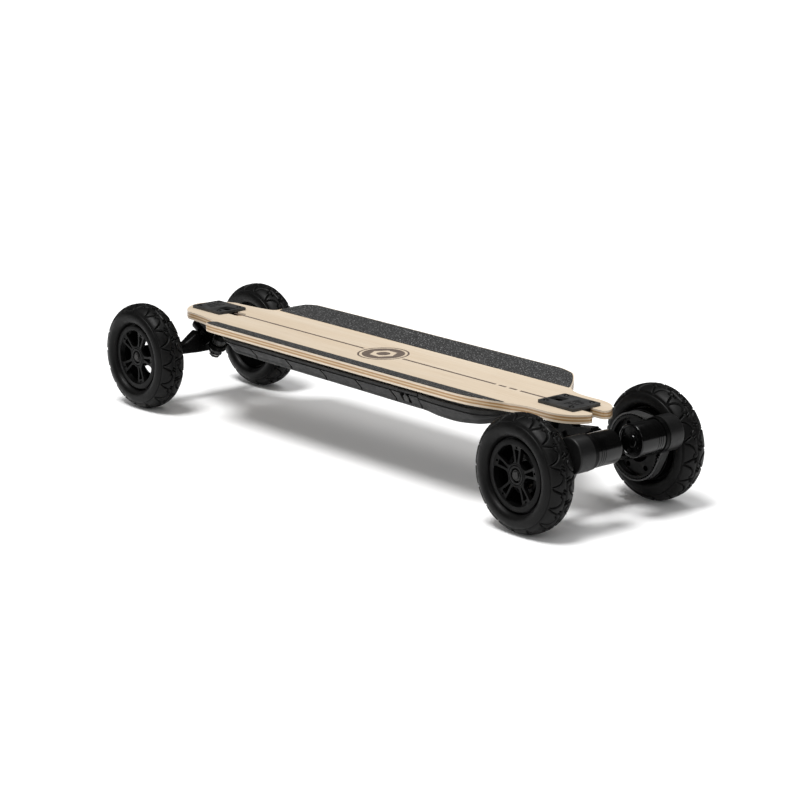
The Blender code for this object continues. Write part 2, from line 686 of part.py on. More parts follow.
def around_both(wheel_radius, motor_radius, wheel_steps, motor_steps):
    """Outline of a band pulled tight round a circle on the axle and one on the motor's line."""
    lean = math.asin((wheel_radius - motor_radius) / MOTOR_DISTANCE)
    quarter = math.pi / 2
    upper_touch = MOTOR_LIFT + quarter - lean
    lower_touch = MOTOR_LIFT - quarter + lean
    outline = arc((0, 0), wheel_radius, upper_touch, lower_touch + math.tau, wheel_steps)
    return outline + arc(motor_centre_uw(), motor_radius, lower_touch, upper_touch, motor_steps)


def make_motor(side):
    name = SIDE_NAMES[side]
    centre, outward = motor_frame(side)
    inner, outer = CAN_Y
    wall, thin = CAN_RADIUS - 2.4 * MM, 2.5 * MM
    can = [(inner, 0), (inner, CAN_RADIUS - 2 * MM), (inner + 2 * MM, CAN_RADIUS), (outer, CAN_RADIUS),
           (outer, wall), (inner + thin, wall), (inner + thin, 0)]
    make_piece(f"{name}_motor_housing", turned(can, 24, centre, outward), "gloss_black", origin=centre)
    shaft, core = 4 * MM, 22 * MM
    rotor = [(inner + 4 * MM, shaft), (inner + 5 * MM, shaft), (inner + 5 * MM, core), (outer - 3 * MM, core),
             (outer - 3 * MM, shaft), (100.8 * MM, shaft)]
    make_piece(f"{name}_motor_rotor", turned(rotor, 20, centre, outward), "steel", origin=centre)
    tips, flange, bore = pitch_radius(MOTOR_TEETH) - 0.75 * MM, 13.4 * MM, shaft + 0.35 * MM
    low, high = BELT_Y
    pulley = [(low - 1.5 * MM, bore), (low - 1.5 * MM, flange), (low - 0.5 * MM, flange),
              (low - 0.5 * MM, tips), (high + 0.3 * MM, tips), (high + 0.3 * MM, bore)]
    make_piece(f"{name}_motor_pulley", turned(pulley, 16, centre, outward, ring=True), "steel", origin=centre)


def make_motor_mount(side):
    place = side_view(TAIL)

    def flat(u, w, y):
        return place(u, w, side * y)

    outline = around_both(CLAMP_RADIUS, MOUNT_RADIUS, 8, 14)
    piece = make_piece(f"{SIDE_NAMES[side]}_motor_mount", prism(outline, *MOUNT_Y, flat), "black_metal")
    low, high = MOUNT_Y[0] - 5 * MM, MOUNT_Y[1] + 5 * MM
    motor, outward = motor_frame(side)
    clamp = rod(low, high, 10.6 * MM, 16, outward, place(0, 0, 0))
    shaft_hole = rod(low, high, 6 * MM, 16, outward, motor)
    combine(piece, [clamp, shaft_hole], "DIFFERENCE")


def make_belt(side):
    place = side_view(TAIL)

    def flat(u, w, y):
        return place(u, w, side * y)

    band = 2.4 * MM
    root = 0.3 * MM
    wheel, motor = pitch_radius(WHEEL_TEETH) - root, pitch_radius(MOTOR_TEETH) - root
    belt = prism(around_both(wheel + band, motor + band, 28, 8), *BELT_Y, flat)
    piece = make_piece(f"{SIDE_NAMES[side]}_belt", belt, "rubber")
    hollow = prism(around_both(wheel, motor, 28, 8), BELT_Y[0] - 5 * MM, BELT_Y[1] + 5 * MM, flat)
    combine(piece, [hollow], "DIFFERENCE")


def make_belt_cover(side):
    centre, outward = motor_frame(side)
    low, high = COVER_Y
    wall = 1.5 * MM
    cup = [(low, COVER_RADIUS), (high, COVER_RADIUS), (high, 0), (high - wall, 0),
           (high - wall, COVER_RADIUS - wall), (low, COVER_RADIUS - wall)]
    shape = turned(cup, 28, centre, outward, ring=True)
    piece = make_piece(f"{SIDE_NAMES[side]}_belt_cover", shape, "plastic", origin=centre)
    towards_axle = slanted(TAIL, MOTOR_LIFT) * -1
    across = slanted(TAIL, MOTOR_LIFT + math.pi / 2)

    def place(a, b, height):
        return centre + towards_axle * a + across * b + outward * height

    reach = 40 * MM
    mouth = [(6 * MM, -reach), (reach, -reach), (reach, reach), (6 * MM, reach)]
    combine(piece, [prism(mouth, low - 5 * MM, high - wall - GAP, place)], "DIFFERENCE")


def make_wheel_pulley(side):
    outward = Vector((0, side, 0))
    centre = side_view(TAIL)(0, 0, 0)
    tips = 48.6
    section = [(85.3, tips), (100.3, tips), (100.3, 30), (135, 30), (135, 24), (93.5, 24), (93.5, 43), (85.3, 43)]
    shape = turned(millimetres(section), 24, centre, outward, ring=True)
    make_piece(f"{SIDE_NAMES[side]}_wheel_pulley", shape, "black_metal", origin=centre)


# ---------------------------------------------------------------- the board

def make_truck(end):
    make_baseplate(end)
    make_kingpins(end)
    make_bushings(end)
    make_link(end)
    make_hanger(end)
    make_axle(end)
    for side in (LEFT, RIGHT):
        make_wheel(end, side)


def make_drive(side):
    make_motor(side)
    make_motor_mount(side)
    make_belt(side)
    make_belt_cover(side)
    make_wheel_pulley(side)


def make_board():
    clear_scene()
    make_deck()
    make_enclosures()
    make_electronics()
    make_charge_port()
    make_power_button()
    for side in (LEFT, RIGHT):
        make_grip(side)
        make_drive(side)
    for end in (NOSE, TAIL):
        make_truck(end)


make_board()
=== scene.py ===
"""Looks of the electric skateboard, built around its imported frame.

Units are metres, or millimetres where a comment says so. +X runs from the nose to the tail, +Y to the
right and +Z up. Each truck is drawn in its own side view: u is the distance outboard of its axle and w is
the height above it. "end" is -1 at the nose and +1 at the tail, and "side" is -1 at the left and +1 at the
right.
"""

import itertools
import math

import bmesh
import bpy
import numpy as np
from mathutils import Matrix, Vector


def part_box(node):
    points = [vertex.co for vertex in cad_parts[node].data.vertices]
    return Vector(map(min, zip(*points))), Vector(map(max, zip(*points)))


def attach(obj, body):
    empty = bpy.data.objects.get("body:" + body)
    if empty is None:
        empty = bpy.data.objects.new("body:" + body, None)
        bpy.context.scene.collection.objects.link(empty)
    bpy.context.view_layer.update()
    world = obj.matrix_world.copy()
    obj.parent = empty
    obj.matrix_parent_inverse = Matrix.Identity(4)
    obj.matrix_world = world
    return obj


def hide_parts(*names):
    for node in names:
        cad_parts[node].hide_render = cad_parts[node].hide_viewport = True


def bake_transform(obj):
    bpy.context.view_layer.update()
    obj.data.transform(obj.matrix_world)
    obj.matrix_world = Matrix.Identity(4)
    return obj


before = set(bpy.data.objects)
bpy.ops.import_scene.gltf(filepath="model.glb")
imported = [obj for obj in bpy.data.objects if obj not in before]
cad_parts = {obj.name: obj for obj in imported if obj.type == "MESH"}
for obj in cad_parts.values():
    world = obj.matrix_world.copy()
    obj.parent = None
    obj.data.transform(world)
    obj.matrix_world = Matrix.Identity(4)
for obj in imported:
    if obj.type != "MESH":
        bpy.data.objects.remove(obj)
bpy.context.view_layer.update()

MM = 0.001
NOSE, TAIL = -1, 1
LEFT, RIGHT = -1, 1
END_NAMES = {NOSE: "front", TAIL: "rear"}
SIDE_NAMES = {LEFT: "left", RIGHT: "right"}
FULL = math.tau
QUARTER = math.pi / 2


def middle_of(node):
    low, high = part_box(node)
    return (low + high) / 2


AXLE = {end: middle_of(f"{END_NAMES[end]}_axle") for end in (NOSE, TAIL)}
AXLE_X = AXLE[TAIL].x
AXLE_Z = AXLE[TAIL].z
WHEEL_Y = {end: middle_of(f"{END_NAMES[end]}_right_tyre").y for end in (NOSE, TAIL)}
TYRE_RADIUS = AXLE_Z
TYRE_HALF = (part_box("front_right_tyre")[1].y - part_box("front_right_tyre")[0].y) / 2
MOTOR = middle_of("left_motor_rotor")
MOTOR_CENTRE = Vector((MOTOR.x, 0, MOTOR.z))
GAP = 0.3 * MM

# Deck
DECK_TOP = 157 * MM
DECK_THICKNESS = 12.9 * MM
DECK_BOTTOM = DECK_TOP - DECK_THICKNESS
WING_START = 62 * MM
WING_SLOPE = 11 / 49
CREASE_SOFTNESS = 6 * MM
NOSE_TIP, NOSE_ROOT, NOSE_HALF, NOSE_POWER = -481 * MM, -437 * MM, 50 * MM, 1.6
TAIL_TIP, TAIL_ROOT, TAIL_HALF, TAIL_POWER = 489.5 * MM, 430 * MM, 53 * MM, 2.1
TAIL_CUT = 485.5 * MM
WAIST = [(-370, 57.4), (-353, 62.3), (-341, 75), (-330, 92), (-314, 106.5), (-290, 111), (-140, 112),
         (0, 112), (140, 112.5), (280, 113), (315, 108), (341, 87), (356, 67), (375, 57.5), (398, 53)]
GRIP_ENDS = (-341 * MM, 353 * MM)
GRIP_START = 65 * MM
GRIP_THICKNESS = 0.9 * MM
INLAY_STRETCHES = [(-378, -43), (51, 264), (271, 287), (294, 310), (318, 379)]
BADGE_X = 4 * MM
INK_DEPTH = 0.12  # millimetres

# Truck side view, in (u, w)
PLATE_U = (-85 * MM, -9 * MM)
PLATE_HALF = 28 * MM
PLATE_TOP = 74 * MM
PLATE_BOTTOM = DECK_TOP - AXLE_Z + GAP
BOLT_U = (-74 * MM, -20.5 * MM)
BOLT_Y = 20.6 * MM
CUTOUT_U = (-86 * MM, -13 * MM)
CUTOUT_HALF = 14 * MM
SLOT_HALF = 10 * MM
NOSE_SLOT_U = -114 * MM
UPPER_RING = Vector((-73.3 * MM, 38.5 * MM))
UPPER_AXIS = math.radians(22.5)
UPPER_PIN = math.radians(-11.5)
LOWER_RING = Vector((-41 * MM, 7 * MM))
LOWER_AXIS = math.radians(28)
PIN_RADIUS = 5 * MM
UPPER_SEAT = 24 * MM
BOSS_BOTTOM = {"upper": 16 * MM, "lower": 15 * MM}

# Belt drive
BELT_Y = (85.5 * MM, 100 * MM)
BELT_PITCH = 5 * MM
BARE_ENDS = 25 * MM
WHEEL_TEETH, MOTOR_TEETH = 62, 15
MOTOR_UW = Vector((MOTOR.x - AXLE_X, MOTOR.z - AXLE_Z))
MOTOR_DISTANCE = MOTOR_UW.length
MOTOR_LIFT = math.atan2(MOTOR.z - AXLE_Z, MOTOR.x - AXLE_X)

# Enclosures: x, half-width at the top, half-width at the bottom, height of the bottom
BATTERY_STATIONS = [(-335, 60, 52, 138), (-311, 76, 66, 121), (-287, 82, 73, 116.6), (0, 85, 76, 115.2),
                    (182.5, 85, 76, 113.8)]
CONTROLLER_STATIONS = [(185.5, 85, 76, 113.6), (215, 87, 79, 111.8), (245, 88, 80, 111.6),
                       (300, 86, 78, 116.5), (330, 70, 60, 123), (352, 52, 42, 135)]
BATTERY_LIP, CONTROLLER_LIP = 4.4 * MM, 6.5 * MM
GROOVE_X = [-230 * MM, -138 * MM, -50 * MM, 36 * MM, 119 * MM]
GROOVE_HOOK = 6 * MM
PORT_X, PORT_Z, PORT_WALL_Y = 153 * MM, 128.8 * MM, 79 * MM
PORT_LEAN = math.radians(20.9)


# ---- materials

NOISE_LOW, NOISE_HIGH = 0.3, 0.7


class Look:
    """A material being made: a Principled shader and the nodes that feed it."""

    def __init__(self, slot, roughness, metallic=0.0):
        self.slot = slot
        self.material = bpy.data.materials.new(slot)
        self.material.use_nodes = True
        self.tree = self.material.node_tree
        self.shader = self.tree.nodes["Principled BSDF"]
        self.shader.inputs["Metallic"].default_value = metallic
        self.shader.inputs["Roughness"].default_value = roughness
        self.place = self.tree.nodes.new("ShaderNodeTexCoord").outputs["Object"]

    def put(self, kind, settings=None, **inputs):
        """Add a node. An input is a value or another node's output, by its name or as _0, _1 and so on."""
        made = self.tree.nodes.new("ShaderNode" + kind)
        for name, value in (settings or {}).items():
            setattr(made, name, value)
        for name, value in inputs.items():
            key = int(name[1:]) if name[0] == "_" else name
            self.feed(made.inputs[key], value)
        return made

    def feed(self, socket, value):
        if isinstance(value, bpy.types.NodeSocket):
            self.tree.links.new(value, socket)
        else:
            socket.default_value = value

    def calc(self, operation, first, second=0.0):
        return self.put("Math", {"operation": operation}, _0=first, _1=second).outputs[0]

    def noise(self, scale, detail=2.0, distortion=0.0):
        """Noise with a number of features to the metre, or one for each axis."""
        scales = scale if isinstance(scale, tuple) else (scale,) * 3
        stretched = self.put("Mapping", Vector=self.place, Scale=scales).outputs[0]
        return self.put("TexNoise", Vector=stretched, Scale=1.0, Detail=detail,
                        Distortion=distortion).outputs[0]

    def cells(self, scale):
        return self.put("TexVoronoi", Vector=self.place, Scale=scale).outputs["Distance"]

    def ramp(self, factor, stops):
        made = self.put("ValToRGB", Fac=factor)
        elements = made.color_ramp.elements
        while len(elements) < len(stops):
            elements.new(1.0)
        for element, (position, colour) in zip(elements, stops):
            element.position = position
            element.color = (*colour, 1.0)
        return made.outputs[0]

    def mix(self, factor, first, second, blend="MIX"):
        made = self.put("Mix", {"data_type": "RGBA", "blend_type": blend})
        for socket, value in zip((made.inputs[0], made.inputs[6], made.inputs[7]), (factor, first, second)):
            self.feed(socket, value)
        return made.outputs[2]

    def spread(self, factor, low, high):
        """Map noise from its usual range to between low and high."""
        return self.put("MapRange", _0=factor, _1=NOISE_LOW, _2=NOISE_HIGH, _3=low, _4=high).outputs[0]

    def mottled(self, scale, detail, low, high):
        """Colour that wanders between two."""
        return self.ramp(self.noise(scale, detail), [(NOISE_LOW, low), (NOISE_HIGH, high)])

    def set(self, name, value):
        self.feed(self.shader.inputs[name], value)

    def colour(self, value):
        self.set("Base Color", value)

    def rough(self, scale, detail, low, high):
        """Roughness that wanders between two values."""
        self.set("Roughness", self.spread(self.noise(scale, detail), low, high))

    def grain(self, scale, detail, depth, strength=1.0):
        """Fine relief, its depth in millimetres."""
        self.bump(self.noise(scale, detail), depth * MM, strength)

    def height(self):
        return self.put("SeparateXYZ", _0=self.place).outputs[2]

    def bump(self, height, distance, strength=1.0):
        made = self.put("Bump", Strength=strength, Distance=distance, Height=height)
        if self.shader.inputs["Normal"].links:
            self.feed(made.inputs["Normal"], self.shader.inputs["Normal"].links[0].from_socket)
        self.feed(self.shader.inputs["Normal"], made.outputs[0])


def grey(value, warmth=0.0):
    return (value * (1 + warmth), value, value * (1 - warmth))


def wood_look():
    """Pale veneer over plies whose colour follows the depth below the deck's top face."""
    look = Look("bamboo_deck", 0.4)
    look.set("Coat Weight", 0.15)
    look.set("Coat Roughness", 0.3)
    split = look.put("SeparateXYZ", _0=look.place).outputs
    over = look.calc("SUBTRACT", look.calc("ABSOLUTE", split[1]), WING_START)
    surface = look.calc("ADD", look.calc("MULTIPLY", look.calc("MAXIMUM", over), WING_SLOPE), DECK_TOP)
    share = look.calc("DIVIDE", look.calc("SUBTRACT", surface, split[2]), DECK_THICKNESS)
    veneer, tan, pale = (0.60, 0.51, 0.40), (0.34, 0.19, 0.075), (0.56, 0.44, 0.29)
    plies = look.ramp(share, [(0, veneer), (0.19, veneer), (0.24, tan), (0.38, tan), (0.43, pale),
                              (0.53, pale), (0.58, tan), (0.72, tan), (0.78, veneer)])
    clear = (1, 1, 1)
    streaks = look.ramp(look.noise((5, 420, 420), 5, 0.4), [(0.3, (0.80, 0.74, 0.66)), (0.62, clear)])
    figure = look.ramp(look.noise((2.2, 26, 26), 3, 1.2), [(0.35, (0.90, 0.84, 0.76)), (0.65, clear)])
    pores = look.ramp(look.noise((60, 1500, 1500), 2), [(0.30, (0.82, 0.76, 0.68)), (0.42, clear)])
    fibres = look.ramp(look.noise((25, 25, 260), 3), [(0.35, (0.86, 0.82, 0.76)), (0.6, clear)])
    grained = plies
    for factor, layer in ((0.35, streaks), (0.45, figure), (0.4, pores)):
        grained = look.mix(factor, grained, layer, "MULTIPLY")
    edge = look.mix(0.6, plies, fibres, "MULTIPLY")
    look.colour(look.mix(look.calc("LESS_THAN", share, 0.06), edge, grained))
    look.rough((8, 300, 300), 3, 0.34, 0.5)
    look.grain((12, 700, 700), 3, 0.05, 0.5)
    return look


def ink_look():
    look = Look("bamboo_deck", 0.5)
    look.colour(look.mottled((30, 500, 500), 4, (0.09, 0.066, 0.052), (0.15, 0.115, 0.094)))
    look.grain((20, 700, 700), 2, 0.02)
    return look


def grip_look():
    """Black grit with a few bright grains."""
    look = Look("grip_tape", 0.9)
    sparkle = look.noise(520, 3)
    grit = look.ramp(sparkle, [(0.36, grey(0.010)), (0.56, grey(0.021)), (0.62, grey(0.06)),
                               (0.69, grey(0.30))])
    look.colour(look.mix(0.35, grit, look.mottled(14, 3, grey(0.6), grey(1.0)), "MULTIPLY"))
    look.set("Roughness", look.spread(sparkle, 0.95, 0.6))
    look.bump(look.cells(1100), 0.35 * MM, 0.8)
    return look


def tyre_look():
    """Black rubber, a little dusty, with painted shade that darkens the grooves of the tread."""
    look = Look("tyre_rubber", 0.5)
    look.set("Specular IOR Level", 0.13)
    pointiness = look.put("NewGeometry").outputs["Pointiness"]
    # painted shade: pointiness darkens the base colour down in the tread grooves, where shade falls
    groove = look.ramp(pointiness, [(0.455, grey(0.1)), (0.495, grey(1.0))])
    look.colour(look.mix(1.0, look.mottled(38, 4, grey(0.002), grey(0.0045, 0.02)), groove, "MULTIPLY"))
    rough = look.spread(look.noise(160, 3), 0.36, 0.52)
    in_groove = look.calc("MULTIPLY", 0.45, look.calc("SUBTRACT", 1.0, groove))
    look.set("Roughness", look.calc("ADD", rough, in_groove))
    look.grain(1400, 2, 0.05, 0.6)
    return look


def rubber_look(slot, value, rough):
    look = Look(slot, rough)
    look.colour(look.mottled(90, 4, grey(value * 0.75), grey(value * 1.25)))
    look.rough(300, 3, rough - 0.08, rough + 0.1)
    look.grain(1600, 2, 0.04, 0.5)
    return look


def plastic_look(slot, value, rough):
    """Moulded plastic with a fine spark-eroded grain."""
    look = Look(slot, rough)
    look.set("Specular IOR Level", 0.25)
    look.colour(look.mottled(24, 4, grey(value * 0.85), grey(value * 1.1)))
    look.rough(110, 4, rough - 0.07, rough + 0.09)
    look.bump(look.cells(1900), 0.05 * MM, 0.5)
    return look


def coated_metal_look(slot, value, rough, orange_peel=0.5, worn=0.0, shine=0.15):
    """Dark coating on metal, a little worn to brighter metal along its edges."""
    look = Look(slot, rough)
    base = look.mottled(45, 4, grey(value * 0.8), grey(value * 1.2))
    if worn:
        edge = look.put("NewGeometry").outputs["Pointiness"]
        rubbed = look.calc("MULTIPLY", edge, look.spread(look.noise(220, 4), 0.96, 1.05))
        mask = look.put("MapRange", _0=rubbed, _1=0.555, _2=0.66, _3=0.0, _4=worn).outputs[0]
        base = look.mix(mask, base, (0.22, 0.22, 0.23, 1))
    look.colour(base)
    look.rough(130, 4, rough - 0.06, rough + 0.1)
    look.grain(650, 3, 0.04, orange_peel)
    look.set("Specular IOR Level", shine)
    return look


def wheel_hub_look():
    """Satin black face; inside the barrel, which only shows through the windows, reflection is cut as painted
    shade.
    """
    look = coated_metal_look("hub_black", 0.002, 0.36, 0.4, 0.05)
    # painted shade: below this height the hub reflects nothing, so the barrel seen through the windows stays
    # black
    face = look.calc("GREATER_THAN", look.height(), 8.8 * MM)
    look.set("Specular IOR Level", look.calc("MULTIPLY", face, 0.1))
    return look


def plate_look():
    """Black casting whose plate, above the deck, is painted a lighter mottled grey as painted light on its
    lit top.
    """
    look = Look("truck_black", 0.42)
    # painted light: above the deck the plate gets a lighter grey that stands in for the light on its top
    above = look.calc("GREATER_THAN", look.height(), DECK_TOP + GAP)
    painted_plate_light = look.mottled(60, 4, grey(0.026), grey(0.048))
    look.colour(look.mix(above, (*grey(0.0015), 1), painted_plate_light))
    look.rough(130, 4, 0.36, 0.52)
    look.grain(650, 3, 0.04, 0.5)
    look.set("Specular IOR Level", 0.2)
    return look


def steel_look(slot, value, rough):
    look = Look(slot, rough, 1.0)
    look.colour(look.mottled(70, 4, grey(value * 0.8, 0.02), grey(value, 0.01)))
    look.rough((260, 1500, 260), 3, rough - 0.08, rough + 0.12)
    look.grain((400, 2200, 400), 2, 0.02, 0.5)
    return look


def battery_look():
    look = Look("battery_wrap", 0.4)
    look.colour(look.mottled(30, 3, (0.01, 0.03, 0.10), (0.02, 0.05, 0.16)))
    look.rough(60, 3, 0.28, 0.5)
    look.grain((70, 25, 70), 3, 0.4, 0.6)
    return look


WOOD = wood_look()
INK = ink_look()
GRIP = grip_look()
TYRE = tyre_look()
BELT = rubber_look("soft_rubber", 0.035, 0.36)
CAP = rubber_look("soft_rubber", 0.012, 0.5)
URETHANE = rubber_look("urethane", 0.016, 0.38)
# near-black foam, partly real and partly painted shade for the shadow under the deck's edge
GASKET_AND_SHADE = rubber_look("soft_rubber", 0.0015, 0.7)
SHELL = plastic_look("moulded_plastic", 0.018, 0.5)
COVER = plastic_look("moulded_plastic", 0.005, 0.4)
SOCKET = plastic_look("moulded_plastic", 0.0006, 0.7)
HUB = coated_metal_look("hub_black", 0.002, 0.36, 0.4, 0.05)
WHEEL_HUB = wheel_hub_look()
TRUCK = coated_metal_look("truck_black", 0.0012, 0.34, 0.5, 0.06, 0.07)
PLATE = plate_look()
GLOSS = coated_metal_look("gloss_black", 0.0008, 0.14, 0.08, shine=0.28)
STEEL = steel_look("steel", 0.42, 0.3)
DARK_STEEL = steel_look("steel", 0.04, 0.36)
ALLOY = steel_look("bare_aluminium", 0.55, 0.35)
BATTERY = battery_look()


# ---- shapes

def arc(centre, radius, start, end, steps):
    """Points of an arc in a plane, angles in radians."""
    angles = [start + (end - start) * step / steps for step in range(steps + 1)]
    return [(centre[0] + radius * math.cos(a), centre[1] + radius * math.sin(a)) for a in angles]


def rounded_rectangle(low, high, radius, steps=6):
    corners = [(high[0] - radius, high[1] - radius), (low[0] + radius, high[1] - radius),
               (low[0] + radius, low[1] + radius), (high[0] - radius, low[1] + radius)]
    outline = []
    for quarter, corner in enumerate(corners):
        outline += arc(corner, radius, quarter * QUARTER, (quarter + 1) * QUARTER, steps)
    return outline


def millimetres(rows):
    return [tuple(value * MM for value in row) for row in rows]


def spun(profile, segments, ring=False):
    """Spin (height, radius) points about Z. A ring's profile is a closed loop."""
    shape = bmesh.new()
    verts = [shape.verts.new((radius, 0, height)) for height, radius in profile]
    pairs = list(zip(verts, verts[1:]))
    if ring:
        pairs.append((verts[-1], verts[0]))
    edges = [shape.edges.new(pair) for pair in pairs]
    bmesh.ops.spin(shape, geom=verts + edges, axis=(0, 0, 1), cent=(0, 0, 0), steps=segments,
                   angle=FULL, use_merge=True)
    bmesh.ops.remove_doubles(shape, verts=shape.verts[:], dist=1e-6)
    if not ring:
        rims = [edge for edge in shape.edges if edge.is_boundary]
        bmesh.ops.holes_fill(shape, edges=rims, sides=0)
    return shape


def turned(rows, segments, ring=False):
    """The same from millimetres."""
    return spun(millimetres(rows), segments, ring)


def upright(low, high, radius, segments=48):
    return spun([(low, radius), (high, radius)], segments)


def rod(low, high, radius, segments=48):
    """The same from millimetres."""
    return upright(low * MM, high * MM, radius * MM, segments)


def flat_ring(outer, inner, height, segments=96):
    """Washer from millimetres."""
    return turned([(0, inner), (0, outer), (height, outer), (height, inner)], segments, ring=True)


def prism(outline, low, high):
    """Extrude a flat outline between two heights."""
    shape = bmesh.new()
    base = shape.faces.new([shape.verts.new((a, b, low)) for a, b in outline])
    grown = bmesh.ops.extrude_face_region(shape, geom=[base])["geom"]
    moved = [item for item in grown if isinstance(item, bmesh.types.BMVert)]
    bmesh.ops.translate(shape, verts=moved, vec=(0, 0, high - low))
    return shape


def hexagon(corner, low, high):
    return prism(arc((0, 0), corner, 0, FULL * 5 / 6, 5), low, high)


def block(low, high, radius, bottom, top, steps=6):
    """Box with rounded corners, from two opposite corners of its outline."""
    return prism(rounded_rectangle(low, high, radius, steps), bottom, top)


def block_in_mm(low, high, radius, bottom, top):
    """The same from millimetres."""
    return block(*millimetres((low, high)), radius * MM, bottom * MM, top * MM)


def loft(sections):
    """Skin with end caps through sections that all have the same number of points."""
    shape = bmesh.new()
    loops = [[shape.verts.new(point) for point in section] for section in sections]
    for near, far in zip(loops, loops[1:]):
        for first in range(len(near)):
            second = (first + 1) % len(near)
            shape.faces.new((near[first], near[second], far[second], far[first]))
    shape.faces.new(loops[0][::-1])
    shape.faces.new(loops[-1])
    return shape


def placed(shape, matrix):
    bmesh.ops.transform(shape, matrix=matrix, verts=shape.verts[:])
    return shape


def aimed(centre, axis, turn=0.0):
    """Matrix that puts a shape made along Z at a centre and along an axis."""
    lean = Vector((0, 0, 1)).rotation_difference(Vector(axis)).to_matrix().to_4x4()
    return Matrix.Translation(centre) @ lean @ Matrix.Rotation(turn, 4, "Z")


def polar(share, radius, height=0.0):
    """Matrix to a share of the way round the Z axis, out at a radius."""
    return Matrix.Rotation(FULL * share, 4, "Z") @ Matrix.Translation((radius, 0, height))


def lifted(height):
    return Matrix.Translation((0, 0, height))


def side_matrix(end):
    """Matrix from (u, w, y) to the row frame, for prisms drawn in a truck's side view."""
    return Matrix(((end, 0, 0, end * AXLE_X), (0, 0, 1, 0), (0, 1, 0, AXLE_Z), (0, 0, 0, 1)))


def plan_matrix(end):
    """Matrix from (u, y, w) to the row frame."""
    return Matrix(((end, 0, 0, end * AXLE_X), (0, 1, 0, 0), (0, 0, 1, AXLE_Z), (0, 0, 0, 1)))


def mesh_of(name, shape, look):
    bmesh.ops.recalc_face_normals(shape, faces=shape.faces[:])
    mesh = bpy.data.meshes.new(name)
    shape.to_mesh(mesh)
    shape.free()
    mesh.materials.append(look.material)
    return mesh


def shown(name, data):
    thing = bpy.data.objects.new(name, data)
    bpy.context.scene.collection.objects.link(thing)
    return thing


def shade(mesh, angle):
    mesh.shade_smooth()
    mesh.set_sharp_from_angle(angle=math.radians(angle))


def place_mesh(name, mesh, look, body, stands_for=(), matrix=None, bevel=0.0, angle=35, steps=2):
    """Show a mesh as a piece that rides on a CAD body, its edges eased by a bevel in millimetres."""
    piece = shown(name, mesh)
    if matrix is not None:
        piece.matrix_world = matrix
    if bevel:
        ease(piece, bevel, steps)
    shade(mesh, angle)
    if stands_for:
        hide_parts(*stands_for)
    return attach(piece, body)


def add_piece(name, shape, look, body, stands_for=(), **how):
    return place_mesh(name, mesh_of(name, shape, look), look, body, stands_for, **how)


def ease(piece, width, steps):
    """Round the piece's hard edges, by a width in millimetres."""
    modifier = piece.modifiers.new("eased_edges", "BEVEL")
    modifier.width = width * MM
    modifier.segments = steps
    modifier.limit_method = "ANGLE"
    modifier.angle_limit = math.radians(38)
    modifier.use_clamp_overlap = True
    modifier.miter_outer = "MITER_ARC"
    modifier.harden_normals = True


def combined(shape, others, operation):
    """The shape after it is joined with the others, or has them cut out of it."""
    solid = shown("solid", mesh_of("solid", shape, STEEL))
    for other in others:
        tool = shown("tool", mesh_of("tool", other, STEEL))
        modifier = solid.modifiers.new(operation, "BOOLEAN")
        modifier.object = tool
        modifier.operation = operation
        modifier.solver = "EXACT"
        solved = solid.evaluated_get(bpy.context.evaluated_depsgraph_get())
        mesh = bpy.data.meshes.new_from_object(solved)
        solid.modifiers.clear()
        solid.data = mesh
        bpy.data.objects.remove(tool, do_unlink=True)
    result = bmesh.new()
    result.from_mesh(solid.data)
    bpy.data.objects.remove(solid, do_unlink=True)
    bmesh.ops.remove_doubles(result, verts=result.verts[:], dist=2e-6)
    bmesh.ops.dissolve_degenerate(result, edges=result.edges[:], dist=1e-6)
    return result


def union(shape, *others):
    return combined(shape, others, "UNION")


def cut(shape, *others):
    return combined(shape, others, "DIFFERENCE")


def smooth_line(points):
    """Monotone cubic through (x, value) points, level at both ends."""
    xs, ys = np.array(points, float).T
    step = np.diff(xs)
    slope = np.diff(ys) / step
    tangent = np.zeros(len(xs))
    for i in range(1, len(xs) - 1):
        if slope[i - 1] * slope[i] > 0:
            tangent[i] = 2 * slope[i - 1] * slope[i] / (slope[i - 1] + slope[i])

    def value(x):
        i = int(np.clip(np.searchsorted(xs, x) - 1, 0, len(step) - 1))
        t = (x - xs[i]) / step[i]
        near = (2 * t ** 3 - 3 * t ** 2 + 1) * ys[i] + (t ** 3 - 2 * t ** 2 + t) * step[i] * tangent[i]
        far = (3 * t ** 2 - 2 * t ** 3) * ys[i + 1] + (t ** 3 - t ** 2) * step[i] * tangent[i + 1]
        return float(near + far)

    return value


# ---- deck

waist_width = smooth_line([(NOSE_ROOT, NOSE_HALF)] + millimetres(WAIST) + [(TAIL_ROOT, TAIL_HALF)])


def superellipse(x, root, tip, half, power):
    share = min(1.0, abs((x - root) / (tip - root)))
    return half * max(0.0, 1 - share ** power) ** (1 / power)


def deck_half_width(x):
    if x <= NOSE_ROOT:
        return superellipse(x, NOSE_ROOT, NOSE_TIP, NOSE_HALF, NOSE_POWER)
    if x >= TAIL_ROOT:
        return superellipse(x, TAIL_ROOT, TAIL_TIP, TAIL_HALF, TAIL_POWER)
    return waist_width(x)


def deck_rise(y):
    """Height of the wings above the flat middle, with a soft crease."""
    over = abs(y) - WING_START
    if over <= -CREASE_SOFTNESS:
        return 0.0
    if over >= CREASE_SOFTNESS:
        return WING_SLOPE * over
    return WING_SLOPE * (over + CREASE_SOFTNESS) ** 2 / (4 * CREASE_SOFTNESS)


def deck_underside(y):
    return DECK_BOTTOM + deck_rise(y)


